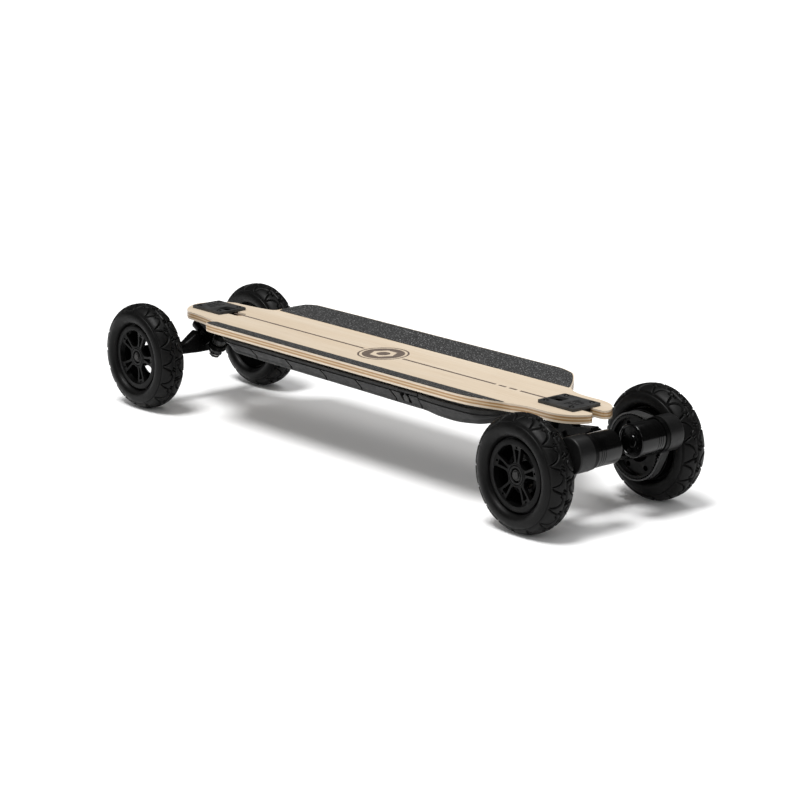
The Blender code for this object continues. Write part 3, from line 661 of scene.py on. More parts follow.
def deck_stations():
    def towards(root, tip, first):
        return [root + (tip - root) * math.sin(share * QUARTER) for share in np.linspace(first, 0.0, 13)]

    nose = towards(NOSE_ROOT, NOSE_TIP, 0.965)
    middle = list(np.linspace(NOSE_ROOT, TAIL_ROOT, 170))
    tail = towards(TAIL_ROOT, TAIL_CUT, 1.0)[::-1]
    return nose[:-1] + middle + tail[1:]


def mirrored(right):
    """Points of a section's right half, (y, z) first, and then of its left half back to the start."""
    return right + [(-y, *rest) for y, *rest in reversed(right)]


def deck_section(x):
    half = deck_half_width(x)
    inner, crease = min(WING_START - 7 * MM, half * 0.82), min(WING_START, half * 0.9)
    outer = min(WING_START + 7 * MM, half * 0.95)
    right = [inner * 0.4, inner, crease, outer, (outer + half) / 2, half]
    across = [-y for y in reversed(right)] + right
    top = [Vector((x, y, DECK_TOP + deck_rise(y))) for y in across]
    bottom = [Vector((x, y, deck_underside(y))) for y in reversed(across)]
    return top + bottom


def slot_outline(end):
    """Drop-through cut-out with the closed nose slot or the open tail slot beside it."""
    inner, outer = AXLE_X + CUTOUT_U[0], AXLE_X + CUTOUT_U[1]
    corner = 3 * MM
    if end == NOSE:
        tip = AXLE_X + NOSE_SLOT_U + SLOT_HALF
        slot = arc((tip, 0), SLOT_HALF, QUARTER, 3 * QUARTER, 17)
        near = [(inner, SLOT_HALF)] + slot + [(inner, -SLOT_HALF)]
        far_low = arc((outer - corner, -CUTOUT_HALF + corner), corner, -QUARTER, 0, 5)
        far_high = arc((outer - corner, CUTOUT_HALF - corner), corner, 0, QUARTER, 5)
        outline = near + [(inner, -CUTOUT_HALF)] + far_low + far_high + [(inner, CUTOUT_HALF)]
        return [(-x, y) for x, y in outline]
    past = TAIL_TIP + 10 * MM
    lobe, mouth = 8 * MM, TAIL_CUT
    edge = SLOT_HALF + lobe
    high_lobe = arc((mouth - lobe, edge), lobe, -QUARTER, 0, 8)
    low_lobe = [(x, -y) for x, y in reversed(high_lobe)]
    near_low = arc((inner + corner, -CUTOUT_HALF + corner), corner, -QUARTER, -2 * QUARTER, 5)
    near_high = arc((inner + corner, CUTOUT_HALF - corner), corner, 2 * QUARTER, QUARTER, 5)
    ends = [(mouth + 1 * MM, edge), (past, edge), (past, -edge), (mouth + 1 * MM, -edge)]
    slot = [(outer, SLOT_HALF)] + high_lobe + ends + low_lobe + [(outer, -SLOT_HALF)]
    outline = near_high + [(outer, CUTOUT_HALF)] + slot + [(outer, -CUTOUT_HALF)] + near_low
    return outline[::-1]


BOLT_PLACES = [(u, side * BOLT_Y) for u in BOLT_U for side in (LEFT, RIGHT)]


def make_deck():
    shape = loft([deck_section(x) for x in deck_stations()])
    low, high = DECK_TOP - 40 * MM, DECK_TOP + 40 * MM
    cuts = [prism(slot_outline(end), low, high) for end in (NOSE, TAIL)]
    for end in (NOSE, TAIL):
        for u, y in BOLT_PLACES:
            at = plan_matrix(end) @ Matrix.Translation((u, y, PLATE_BOTTOM))
            cuts.append(placed(rod(-20, 20, 2.7, 20), at))
    add_piece("deck_board", cut(shape, *cuts), WOOD, "board", ("deck",), bevel=3.2, steps=4)


def make_grip(side):
    name = f"grip_{SIDE_NAMES[side]}"
    low_end, high_end = GRIP_ENDS
    foot = DECK_TOP + GAP / 3
    sections = []
    for share in np.linspace(0, 1, 150):
        x = low_end + (high_end - low_end) * share
        outer = max(GRIP_START + 3 * MM, deck_half_width(x) - 2.4 * MM)
        across = list(np.linspace(GRIP_START, outer, 8))
        top = [Vector((x, side * y, foot + deck_rise(y) + GRIP_THICKNESS)) for y in across]
        bottom = [Vector((x, side * y, foot + deck_rise(y))) for y in reversed(across)]
        sections.append(top + bottom)
    add_piece(f"{name}_sheet", loft(sections), GRIP, "board", (name,), bevel=0.2)


def make_inlay():
    """Printed centre line, and a plain badge of a ring, a hexagon and a dot."""
    half, top = 2.3 * MM, DECK_TOP + INK_DEPTH * MM
    for number, (start, stop) in enumerate(millimetres(INLAY_STRETCHES)):
        strip = prism([(start, -half), (stop, -half), (stop, half), (start, half)], DECK_TOP, top)
        add_piece(f"centre_line_{number + 1}", strip, INK, "board")
    ring = flat_ring(41, 38, INK_DEPTH)
    disc = cut(rod(0, INK_DEPTH, 34, 96), hexagon(22 * MM, -1 * MM, 1 * MM))
    dot = rod(0, INK_DEPTH, 11)
    for part, shape in (("ring", ring), ("disc", disc), ("dot", dot)):
        at = Matrix.Translation((BADGE_X, 0, DECK_TOP))
        add_piece(f"badge_{part}", placed(shape, at), INK, "board")


# ---- enclosures

def fine_stations(stations, grooves):
    """Rows (x, top, bottom, low, groove depth) with extra rows where a groove crosses the wall."""
    table = np.array(millimetres(stations))
    lines = [smooth_line(list(zip(table[:, 0], table[:, column]))) for column in (1, 2, 3)]
    plain = [x for x in np.linspace(table[0, 0], table[-1, 0], 60)
             if all(abs(x - groove) > 3 * MM for groove in grooves)]
    rows = [(x, 0.0) for x in plain]
    for groove in grooves:
        rows += [(groove + offset * MM, depth * MM) for offset, depth in
                 ((-2.6, 0), (-1.9, 0.1), (-1.6, 3.4), (1.6, 3.4), (1.9, 0.1), (2.6, 0))]
    return [(x, *(line(x) for line in lines), depth) for x, depth in sorted(rows)]


SHELL_RIM = DECK_BOTTOM - 2.6 * MM
SHELL_WALL = 6 * MM
SHELL_FLOOR = 2.5 * MM


def shell_section(row, ends, lip):
    """Section of a shell: a lip and a fine groove, a leaning wall and a rounded lower edge."""
    x, top, bottom, low, depth = row
    high = SHELL_RIM
    tall = high - low
    lip = min(lip, tall * 0.4)
    radius = min(7 * MM, tall * 0.45)
    fade = min(1.0, min(x - ends[0], ends[1] - x) / (25 * MM))
    line = min(1.8 * MM, tall * 0.1)
    wall_top, wall_foot = high - lip - line * 1.3, low + radius
    right = [(min(WING_START - 4 * MM, top - SHELL_WALL), DECK_BOTTOM - 0.6 * MM, 0),
             (top - 0.8 * MM, high, 0), (top, high - 0.6 * line, 0), (top, high - lip, 0),
             (top - 3 * MM, high - lip - 0.1 * line, 0), (top - 3 * MM, wall_top, 0),
             (top - 0.7 * MM, wall_top, 0)]
    for share in np.linspace(0.08, 1, 8):
        y = top - 0.9 * MM + (bottom - top + 0.9 * MM) * share + 0.6 * MM * math.sin(share * math.pi)
        right.append((y - depth, wall_top + (wall_foot - wall_top) * share, share))
    right += [(y - depth, z, 1) for y, z in arc((bottom - radius, wall_foot), radius, 0, -QUARTER, 6)[1:]]
    right.append(((bottom - radius) / 2, low, 1))
    hook = GROOVE_HOOK * fade
    return [Vector((x + hook * (1 - (1 - share) ** 2), y, z)) for y, z, share in mirrored(right)]


def shell_hollow(row):
    x, top, bottom, low, _ = row
    brim = DECK_BOTTOM - 2 * MM
    radius = min(6 * MM, (brim - low) / 3)
    inside, floor = top - SHELL_WALL, low + SHELL_FLOOR
    right = [(inside, DECK_TOP), (inside, brim),
             (bottom - 3.2 * MM, floor + radius), (bottom - radius, floor)]
    return [Vector((x, y, z)) for y, z in mirrored(right)]


def make_shell(name, stations, hollow_ends, grooves, lip, openings):
    rows = fine_stations(stations, grooves)
    ends = (rows[0][0], rows[-1][0])
    outer = loft([shell_section(row, ends, lip) for row in rows])
    inner = [row for row in fine_stations(stations, []) if hollow_ends[0] < row[0] < hollow_ends[1]][::4]
    hollow = loft([shell_hollow(row) for row in inner])
    shape = cut(outer, hollow, *openings)
    add_piece(f"{name}_shell", shape, SHELL, "board", (name,), angle=28)


def wall_matrix(side):
    """Matrix for shapes drawn on an enclosure's leaning wall: along X, up the wall, straight out of it."""
    out = Vector((0, side * math.cos(PORT_LEAN), -math.sin(PORT_LEAN)))
    up = Vector((0, side * math.sin(PORT_LEAN), math.cos(PORT_LEAN)))
    along = Vector((1, 0, 0))
    matrix = Matrix((along, up, out)).transposed().to_4x4()
    matrix.translation = (PORT_X, side * PORT_WALL_Y, PORT_Z)
    return matrix


def make_enclosures():
    port = block_in_mm((-11.8, -9), (10, 8.6), 3.2, -8, 8)
    openings = [placed(port, wall_matrix(LEFT)),
                placed(rod(-9, 9, 6.6), wall_matrix(RIGHT))]
    make_shell("battery_enclosure", BATTERY_STATIONS, (-318 * MM, 181 * MM), GROOVE_X, BATTERY_LIP, openings)
    make_shell("controller_enclosure", CONTROLLER_STATIONS, (187 * MM, 338 * MM), [], CONTROLLER_LIP, [])


def make_gasket():
    """Dark foam strip between each shell's rim and the deck, its near-black partly painted shade for the
    shadow under the deck's edge.
    """
    for name, stations in (("battery", BATTERY_STATIONS), ("controller", CONTROLLER_STATIONS)):
        for side in (LEFT, RIGHT):
            sections = []
            for x, top, _, _, _ in fine_stations(stations, [])[1:-1]:
                outer, inner = top - 3.5 * MM, top - 7.5 * MM
                low = SHELL_RIM + GAP / 3
                corners = [(outer, low), (outer, deck_underside(outer) - GAP / 3),
                           (inner, deck_underside(inner) - GAP / 3), (inner, low)]
                sections.append([Vector((x, side * y, z)) for y, z in corners])
            add_piece(f"{name}_gasket_{SIDE_NAMES[side]}", loft(sections), GASKET_AND_SHADE, "board")
    seam = (BATTERY_STATIONS[-1][0] * MM + GAP / 2, CONTROLLER_STATIONS[0][0] * MM - GAP / 2)
    (sizes,) = millimetres([(82.8, 73.8, 115.6)])
    faces = [shell_section((x, *sizes, 0), seam, BATTERY_LIP) for x in seam]
    add_piece("seam_gasket", loft(faces), GASKET_AND_SHADE, "board")


def make_charge_port():
    wall = wall_matrix(LEFT)
    box = block_in_mm((-11.5, -8.7), (9.7, 8.3), 3, -9, -1)
    well = block_in_mm((-10.9, -8.1), (9.1, 7.7), 2.4, -7, 3)
    barrel = rod(-7.5, -2.6, 6)
    socket = placed(cut(union(cut(box, well), barrel), rod(-7.8, 2, 4.6)), wall)
    add_piece("charge_socket_body", socket, SOCKET, "board", ("charge_socket",), bevel=0.2)
    pin = turned([(-8.5, 0), (-8.5, 1.1), (-3.6, 1.1), (-3.2, 0.6), (-3.2, 0)], 20)
    add_piece("charge_socket_pin", placed(pin, wall), STEEL, "board")
    arch = [(-5.2 * MM, -6.6 * MM), (5.2 * MM, -6.6 * MM)] + arc((0, 0), 5.6 * MM, 0, math.pi, 24)
    flap = prism(arch, 0.7 * MM, 2.4 * MM)
    tab = block_in_mm((-2, 4), (2, 7.6), 1, 0.8, 1.6)
    cap = placed(union(flap, tab, rod(-1.6, 1, 3.9, 40)), wall)
    add_piece("charge_cap_flap", cap, CAP, "charge_cap", ("charge_cap",), bevel=0.5, steps=3)


def make_power_button():
    profile = [(-7, 0), (-7, 6.2), (1.3, 6.2), (1.65, 6.05), (1.8, 5.7), (1.55, 4.6), (1.3, 3), (1.25, 0)]
    button = placed(turned(profile, 64), wall_matrix(RIGHT))
    add_piece("power_button_cap", button, ALLOY, "power_button", ("power_button",), angle=50)


SCREWS_X = (-280, -165, -50, 65, 175, 196, 290)  # millimetres


def make_screws():
    """Button-head screws round the underside of both shells."""
    head = turned([(0.3, 0), (0.3, 1.3), (1.2, 1.5), (1.2, 2.6), (0.1, 3), (-0.9, 3), (-0.9, 0)], 28)
    mesh = mesh_of("enclosure_screw", head, DARK_STEEL)
    table = np.array(millimetres(BATTERY_STATIONS + CONTROLLER_STATIONS))
    number = 0
    for x in SCREWS_X:
        low = float(np.interp(x * MM, table[:, 0], table[:, 3]))
        half = float(np.interp(x * MM, table[:, 0], table[:, 2]))
        for side in (LEFT, RIGHT):
            number += 1
            matrix = aimed((x * MM, side * (half - 13 * MM), low - 0.15 * MM), (0, 0, -1))
            place_mesh(f"enclosure_screw_{number}", mesh, DARK_STEEL, "board", matrix=matrix)


def make_electronics():
    """Cells of the pack in their wrap, and the controller's finned case."""
    low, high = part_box("battery_pack")
    pack = block(low.xy, high.xy, 5 * MM, low.z, high.z)
    add_piece("battery_pack_wrap", pack, BATTERY, "board", ("battery_pack",), bevel=2)
    low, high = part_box("motor_controller")
    case = block(low.xy, high.xy, 4 * MM, low.z, high.z)
    margin, channel = 8 * MM, 3 * MM
    start, stop = low.x + margin, high.x - margin
    channels = [prism([(start, y), (stop, y), (stop, y + channel), (start, y + channel)],
                      low.z - 1 * MM, low.z + 4 * MM)
                for y in np.linspace(low.y + margin, high.y - margin - channel, 13)]
    add_piece("motor_controller_case", cut(case, *channels), ALLOY, "board", ("motor_controller",),
              bevel=0.5)


# ---- trucks

def along_axis(ring, angle, t, h):
    """Side-view point t outboard along a steering axis from its ring, and h square to it, upwards."""
    return (ring.x + t * math.cos(angle) - h * math.sin(angle),
            ring.y + t * math.sin(angle) + h * math.cos(angle))


def upper(t, h):
    return along_axis(UPPER_RING, UPPER_AXIS, t * MM, h * MM)


def lower(t, h):
    return along_axis(LOWER_RING, LOWER_AXIS, t * MM, h * MM)


def upper_pin(t, h):
    return along_axis(UPPER_RING, UPPER_PIN, t * MM, h * MM)


def slanted(end, angle):
    """Unit vector in the side view that rises outboard at an angle above the horizontal."""
    return Vector((end * math.cos(angle), 0, math.sin(angle)))


def side_point(end, uw, y=0.0):
    return Vector((end * (AXLE_X + uw[0]), y, AXLE_Z + uw[1]))


def pin_frame(end, level):
    """Centre of a kingpin's ring and the direction up the kingpin."""
    ring, tilt = (UPPER_RING, UPPER_PIN) if level == "upper" else (LOWER_RING, LOWER_AXIS)
    return side_point(end, ring), slanted(end, tilt + QUARTER)


def steering_frame(end, level):
    """Matrix along a steering axis, outboard from its ring."""
    ring, tilt = (UPPER_RING, UPPER_AXIS) if level == "upper" else (LOWER_RING, LOWER_AXIS)
    return aimed(side_point(end, ring), slanted(end, tilt))


def hexagonal(low, high, corner, bore):
    """Hexagonal nut or bolt head along Z, its corners turned off at both faces."""
    ease_by = 0.12 * corner
    face, rise = corner - ease_by * 1.3, ease_by * 0.6
    envelope = spun([(low, face), (low + rise, corner), (high - rise, corner), (high, face)], 48)
    shape = combined(hexagon(corner, low, high), [envelope], "INTERSECT")
    return cut(shape, upright(low - 5 * MM, high + 5 * MM, bore)) if bore else shape


def make_kingpins(end):
    name = END_NAMES[end]
    nut_mesh = mesh_of("kingpin_nut", hexagonal(-21.5 * MM, -15.6 * MM, 9.2 * MM, 4.4 * MM), DARK_STEEL)
    washer = flat_ring(10.8, 4.6, 1.5, 64)
    washer_mesh = mesh_of("kingpin_washer", placed(washer, lifted(-15.5 * MM)), STEEL)
    for level, body in (("upper", "board"), ("lower", f"{name}_link")):
        centre, up = pin_frame(end, level)
        matrix = aimed(centre, up)
        top = UPPER_SEAT + GAP if level == "upper" else BOSS_BOTTOM["lower"] + 15 * MM
        point = millimetres([(-23, 0), (-23, 4.2), (-22.3, 4.9)])
        stud = spun(point + [(top, 4.9 * MM), (top, 0)], 32)
        if level == "upper":
            stud = union(stud, hexagonal(top - 0.1 * MM, top + 5.4 * MM, 8.9 * MM, 0))
        node = f"{name}_{level}_kingpin"
        add_piece(f"{node}_bolt", placed(stud, matrix), DARK_STEEL, body, (node,), bevel=0.25)
        place_mesh(f"{node}_nut", nut_mesh, DARK_STEEL, body, matrix=matrix)
        place_mesh(f"{node}_washer", washer_mesh, STEEL, body, matrix=matrix, bevel=0.2)


def bushing_profile(low, high, low_radius, high_radius):
    """Barrel or cone with eased rims and a slight belly, round a bore for the kingpin."""
    bore, rim, belly = PIN_RADIUS + 0.45 * MM, 0.7 * MM, 0.35 * MM
    points = [(low, bore), (low, low_radius - rim)]
    for share in np.linspace(0, 1, 7):
        swell = belly * math.sin(share * math.pi) - belly
        points.append((low + rim + (high - low - 2 * rim) * share,
                       low_radius + (high_radius - low_radius) * share + swell))
    return points + [(high, high_radius - rim), (high, bore)]


def make_bushings(end):
    """Urethane bushings, each lying between its seat on one body and the ring of the next."""
    name = END_NAMES[end]
    for level, seat_body, ring_body in (("upper", "board", f"{name}_link"),
                                        ("lower", f"{name}_link", f"{name}_hanger")):
        centre, up = pin_frame(end, level)
        seat, ring, foot = BOSS_BOTTOM[level] - GAP, 4.3 * MM, -14 * MM + GAP
        for place, profile, far in (("boardside", bushing_profile(ring, seat, 12 * MM, 12 * MM), seat),
                                    ("roadside", bushing_profile(foot, -ring, 9.8 * MM, 11.8 * MM), foot)):
            node = f"{name}_{level}_bushing_{place}"
            shape = placed(spun(profile, 56, ring=True), aimed(centre, up))
            mesh = mesh_of(f"{node}_urethane", shape, URETHANE)
            piece = shown(mesh.name, mesh)
            shade(mesh, 50)
            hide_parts(node)
            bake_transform(piece)


def slab(outline, half, end):
    """Prism drawn in the side view, from side to side of the board's middle plane."""
    return placed(prism(outline, -half, half), side_matrix(end))


def make_baseplate(end):
    name = END_NAMES[end]
    plan = plan_matrix(end)
    corners = (PLATE_U[0], -PLATE_HALF), (PLATE_U[1], PLATE_HALF)
    plate = placed(block(*corners, 3 * MM, PLATE_BOTTOM, PLATE_TOP), plan)
    corners = millimetres([(-83, -12.7), (-14, 12.7)])
    keel = placed(block(*corners, 3 * MM, 64.5 * MM, PLATE_BOTTOM + 1.5 * MM), plan)
    pin, axis = aimed(*pin_frame(end, "upper")), steering_frame(end, "upper")
    solid = union(plate, keel, placed(upright(BOSS_BOTTOM["upper"], 31 * MM, 12.3 * MM, 56), pin),
                  placed(rod(46, 61, 11.8, 56), axis))
    corners = (-81 * MM, -SLOT_HALF), (-56 * MM, SLOT_HALF)
    window = block(*corners, 2.5 * MM, 66 * MM, PLATE_TOP + 10 * MM)
    cuts = [placed(window, plan), placed(upright(UPPER_SEAT, 45 * MM, 9.6 * MM), pin),
            placed(rod(5, 45, 5.3), pin), placed(rod(40, 59, 7.6), axis)]
    for u, y in BOLT_PLACES:
        hole = upright(PLATE_BOTTOM - 4 * MM, PLATE_TOP + 4 * MM, 2.7 * MM, 24)
        cuts.append(placed(hole, plan @ Matrix.Translation((u, y, 0))))
    node = f"{name}_baseplate"
    add_piece(f"{node}_casting", cut(solid, *cuts), PLATE, "board", (node,), bevel=0.7)
    make_plate_marks(end)
    make_deck_bolts(end)


def make_plate_marks(end):
    """Raised ribs on the outboard half of the plate."""
    for row, u in enumerate((-43, -37.5, -32, -26.5)):
        reach = (15 - 2.2 * row) * MM
        for side in (LEFT, RIGHT):
            name = f"{END_NAMES[end]}_plate_rib_{row + 1}_{SIDE_NAMES[side]}"
            inner, outer = sorted((side * 2 * MM, side * reach))
            rib = block((u * MM, inner), ((u + 2.4) * MM, outer), 1.1 * MM,
                        PLATE_TOP - 0.1 * MM, PLATE_TOP + 1.1 * MM, 4)
            add_piece(name, placed(rib, plan_matrix(end)), PLATE, "board", bevel=0.2)


def make_deck_bolts(end):
    """Button-head bolts through plate and deck, with a washer and a nut below."""
    name = END_NAMES[end]
    under = DECK_BOTTOM - AXLE_Z
    dome = millimetres([(0, 0), (0, 4.2), (0.7, 4.1), (1.4, 3.3), (1.6, 2.6), (1.6, 0)])
    head = spun([(PLATE_TOP + height, radius) for height, radius in dome], 40)
    socket = hexagon(1.75 * MM, PLATE_TOP + 0.3 * MM, PLATE_TOP + 4 * MM)
    shank = upright(under - 5.5 * MM, PLATE_TOP + 0.2 * MM, 2.4 * MM, 28)
    bolt_mesh = mesh_of("deck_bolt", cut(union(head, shank), socket), DARK_STEEL)
    nut = hexagonal(under - 4.6 * MM, under - 1.0 * MM, 4.7 * MM, 2.2 * MM)
    nut_mesh = mesh_of("deck_bolt_nut", nut, STEEL)
    ring = placed(flat_ring(5.4, 2.3, 0.8, 40), lifted(under - 0.9 * MM))
    washer_mesh = mesh_of("deck_bolt_washer", ring, STEEL)
    for number, (u, y) in enumerate(BOLT_PLACES):
        matrix = plan_matrix(TAIL) @ Matrix.Translation((u, y, 0))
        matrix.translation.x *= end
        for part, mesh in (("bolt", bolt_mesh), ("nut", nut_mesh), ("washer", washer_mesh)):
            place_mesh(f"{name}_deck_{part}_{number + 1}", mesh, STEEL, "board", matrix=matrix)


def pivot_nose(start, stop):
    profile = [(start, 0), (start, 7)] + arc((stop - 3, 4), 3, QUARTER, 0, 5) + [(stop, 0)]
    return turned(profile, 40)


def link_outline():
    return [upper_pin(13.2, 5), upper(27, 0), upper(40, 0), upper(40, -14), lower(47, 17), lower(60, 12),
            lower(60, 9), lower(46, 9), lower(14, 10), lower(13, 16.5), lower(-10, 16.5),
            upper_pin(14.5, -8), upper_pin(13.2, -5)]


def make_link(end):
    name = END_NAMES[end]
    upper_pin_at, lower_pin_at = (aimed(*pin_frame(end, level)) for level in ("upper", "lower"))
    upper_axis, lower_axis = (steering_frame(end, level) for level in ("upper", "lower"))
    solid = union(slab(link_outline(), 8 * MM, end),
                  placed(rod(-4, 4, 15, 64), upper_pin_at),
                  placed(pivot_nose(26, 57), upper_axis),
                  placed(upright(BOSS_BOTTOM["lower"], 24 * MM, 12 * MM, 56), lower_pin_at),
                  placed(rod(45, 62, 11.5, 56), lower_axis))
    bore = upright(5 * MM, BOSS_BOTTOM["lower"] + 15.5 * MM, 5.3 * MM)
    solid = cut(solid, placed(rod(-9, 9, 6.8), upper_pin_at), placed(bore, lower_pin_at),
                placed(rod(40, 59.5, 7.6), lower_axis))
    add_piece(f"{name}_link_casting", solid, TRUCK, f"{name}_link", (f"{name}_link",), bevel=0.9)
    for level, matrix, body in (("upper", upper_axis, "board"), ("lower", lower_axis, f"{name}_link")):
        cup = turned([(46.5, 7.15), (57.8, 7.15), (57.8, 7.55), (46.2, 7.55)], 40, ring=True)
        add_piece(f"{name}_{level}_pivot_cup", placed(cup, matrix), URETHANE, body)


def hanger_beam(end):
    """Beam from wheel to wheel: a deep rounded middle that tapers to round ends."""
    tip = WHEEL_Y[end] * 1000 - 25.5
    rows = [(0, -13, 10, -9, 16, 4), (12.4, -13, 10, -9, 16, 4), (15.2, -13, 10, -9, 27, 4),
            (22, -12.2, 10, -9, 23.5, 4.5), (46, -9.6, 9.6, -9, 10.2, 7.5),
            (60, -9.2, 9.2, -9.2, 9.2, 9.1), (tip, -9.2, 9.2, -9.2, 9.2, 9.1)]
    table = np.array(rows)
    lines = [smooth_line(list(zip(table[:, 0], table[:, column]))) for column in range(1, 6)]
    distances = sorted({float(d) for d in np.linspace(0, 60, 41)} | {tip})
    sections = []
    for y in [-d for d in reversed(distances)] + distances[1:]:
        low_u, high_u, low_w, high_w, radius = (line(abs(y)) * MM for line in lines)
        outline = rounded_rectangle((low_u, low_w), (high_u, high_w), radius, 7)
        sections.append([side_point(end, uw, y * MM) for uw in outline])
    return loft(sections)


def make_hanger(end):
    name = END_NAMES[end]
    pin, axis = aimed(*pin_frame(end, "lower")), steering_frame(end, "lower")
    neck = [lower(13, 3.6), lower(36, 5), lower(41, 0), lower(41, -12), (2 * MM, 0), (-10 * MM, 0),
            lower(14, -3.6)]
    solid = union(hanger_beam(end), slab(neck, 8.5 * MM, end),
                  placed(rod(-4, 4, 15, 64), pin), placed(pivot_nose(16, 57.5), axis))
    reach = WHEEL_Y[end] + 20 * MM
    across = aimed(AXLE[end], (0, 1, 0))
    bore = placed(upright(-reach, reach, 6.25 * MM), across)
    body = f"{name}_hanger"
    solid = cut(solid, placed(rod(-9, 9, 6.8), pin), bore)
    add_piece(f"{body}_casting", solid, TRUCK, body, (body,), bevel=1.1)
    half = WHEEL_Y[end] + 18.4 * MM
    start, face, shaft = half - 0.8 * MM, 5.2 * MM, 6 * MM
    bar = spun([(-half, 0), (-half, face), (-start, shaft), (start, shaft), (half, face), (half, 0)], 40)
    add_piece(f"{name}_axle_bar", placed(bar, across), DARK_STEEL, body, (f"{name}_axle",))


# ---- wheels

# The tread is worked out in millimetres: round the tyre, and out from its middle.
TREAD_PITCHES = 16
STEPS_TO_A_PITCH = 50
NOMINAL_RADIUS = 87.5
TREAD_PITCH = FULL * NOMINAL_RADIUS / TREAD_PITCHES
SHOULDER = 24.5
TREAD_DEPTH, RIM_GROOVE_DEPTH, SHOULDER_STEP = 3.6, 2.4, 1.8


def tread_lines():
    """Grooves of one pitch on one half of the tread."""
    sweep = [(16 * (1 - math.cos(t)), SHOULDER - 19.5 * math.sin(t)) for t in np.linspace(0, QUARTER, 11)]
    hook = [(16, 5), (19.5, 8.5), (24, 7.5), (28, 16), (33, SHOULDER)]
    dashes = [[(23, 1.5), (26, 6)], [(27, 0.5), (30, 5)]]
    return [sweep, hook] + dashes


def distance_to(lines, across, out):
    """Distance from each point to the nearest of the lines, with the pitches before and after."""
    nearest = np.full(across.shape, 99.0)
    for line in lines:
        for shift in (-TREAD_PITCH, 0, TREAD_PITCH):
            for (a0, b0), (a1, b1) in zip(line, line[1:]):
                step = np.array((a1 - a0, b1 - b0))
                share = ((across - a0 - shift) * step[0] + (out - b0) * step[1]) / (step @ step)
                share = np.clip(share, 0, 1)
                gap = np.hypot(across - a0 - shift - share * step[0], out - b0 - share * step[1])
                nearest = np.minimum(nearest, gap)
    return nearest


def tyre_profile():
    """Closed section as rows of the offset, the radius and the distance out along the tread."""
    widest, power, half = 66.5, 2 / 2.3, TYRE_HALF * 1000 - 0.1
    crown = TYRE_RADIUS * 1000 - widest
    right = [(12, 46.9), (12, 55.1), (16.5, 56.4)]
    for angle in np.radians(np.linspace(-39, 0, 7)):
        right.append((half * math.cos(angle) ** power, widest - 13.5 * abs(math.sin(angle)) ** power))
    steps = np.radians(90 * np.linspace(0, 1, 43)[1:] ** 1.12)
    right += [(half * math.cos(a) ** power if a < QUARTER else 0, widest + crown * math.sin(a) ** power)
              for a in steps]
    points = np.array(right)
    lengths = np.hypot(*np.diff(points, axis=0).T)
    out = np.append(np.cumsum(lengths[::-1])[::-1], 0)
    rows = np.column_stack([points, out])
    other_half = rows[-2::-1] * (-1, 1, -1)
    return np.vstack([rows, other_half])


def tyre_shape():
    """Tyre with its tread cut into it, its wheel's axis along Z."""
    profile = tyre_profile()
    angles = np.linspace(0, FULL, TREAD_PITCHES * STEPS_TO_A_PITCH, endpoint=False)
    turn, along = np.meshgrid(angles * TYRE_RADIUS * 1000, profile[:, 2], indexing="ij")
    shifted = np.where(along >= 0, turn, turn + TREAD_PITCH / 2) % TREAD_PITCH
    out = np.abs(along)
    gap = distance_to(tread_lines(), shifted, out)
    depth = TREAD_DEPTH * np.clip((1.8 - gap) / 1.2, 0, 1) * np.clip(1.5 - out / SHOULDER, 0.5, 1)
    below = out - SHOULDER - 0.6
    depth[below > 0] = 0
    shoulder_groove = np.clip((1.5 - np.abs(out - SHOULDER - 0.2)) / 0.7, 0, 1)
    middle_groove = np.clip((1.2 - out) / 0.5, 0, 1)
    step = np.where(below > 0, SHOULDER_STEP * np.clip(1 - below / 13, 0, 1), 0)
    for other in (RIM_GROOVE_DEPTH * shoulder_groove, RIM_GROOVE_DEPTH * middle_groove, step):
        depth = np.maximum(depth, other)
    radius = (profile[None, :, 1] - depth * 0.85) * MM
    offset = profile[None, :, 0] * (1 - depth * 0.012) * MM
    offset = np.broadcast_to(offset, radius.shape)
    xyz = np.stack([radius * np.cos(angles)[:, None], radius * np.sin(angles)[:, None], offset], axis=2)
    shape = bmesh.new()
    grid = [[shape.verts.new(point) for point in ring] for ring in xyz]
    for ring, following in zip(grid, grid[1:] + grid[:1]):
        for j in range(len(ring)):
            k = (j + 1) % len(ring)
            shape.faces.new((ring[j], ring[k], following[k], following[j]))
    return shape


def wedge(inner, outer, low_half, high_half, corner):
    """Rounded wedge pointing along +X between two radii, with its half-widths at both."""
    points = [Vector((inner, -low_half)), Vector((outer, -high_half)),
              Vector((math.hypot(outer, high_half) * 1.005, 0)),
              Vector((outer, high_half)), Vector((inner, low_half))]
    outline = []
    for i, point in enumerate(points):
        before, after = points[i - 1] - point, points[(i + 1) % len(points)] - point
        reach = min(corner, before.length * 0.45, after.length * 0.45)
        start, stop = point + before.normalized() * reach, point + after.normalized() * reach
        for share in np.linspace(0, 1, 5):
            bent = start * (1 - share) ** 2 + point * 2 * share * (1 - share) + stop * share ** 2
            outline.append(tuple(bent * MM))
    return outline


SPOKES = 5
HUB_BOLTS = 41 * MM
FIRST_SPOKE = {(NOSE, LEFT): math.radians(15) - 0.3, (NOSE, RIGHT): math.radians(101) - 0.3,
               (TAIL, LEFT): math.radians(15), (TAIL, RIGHT): math.radians(101)}


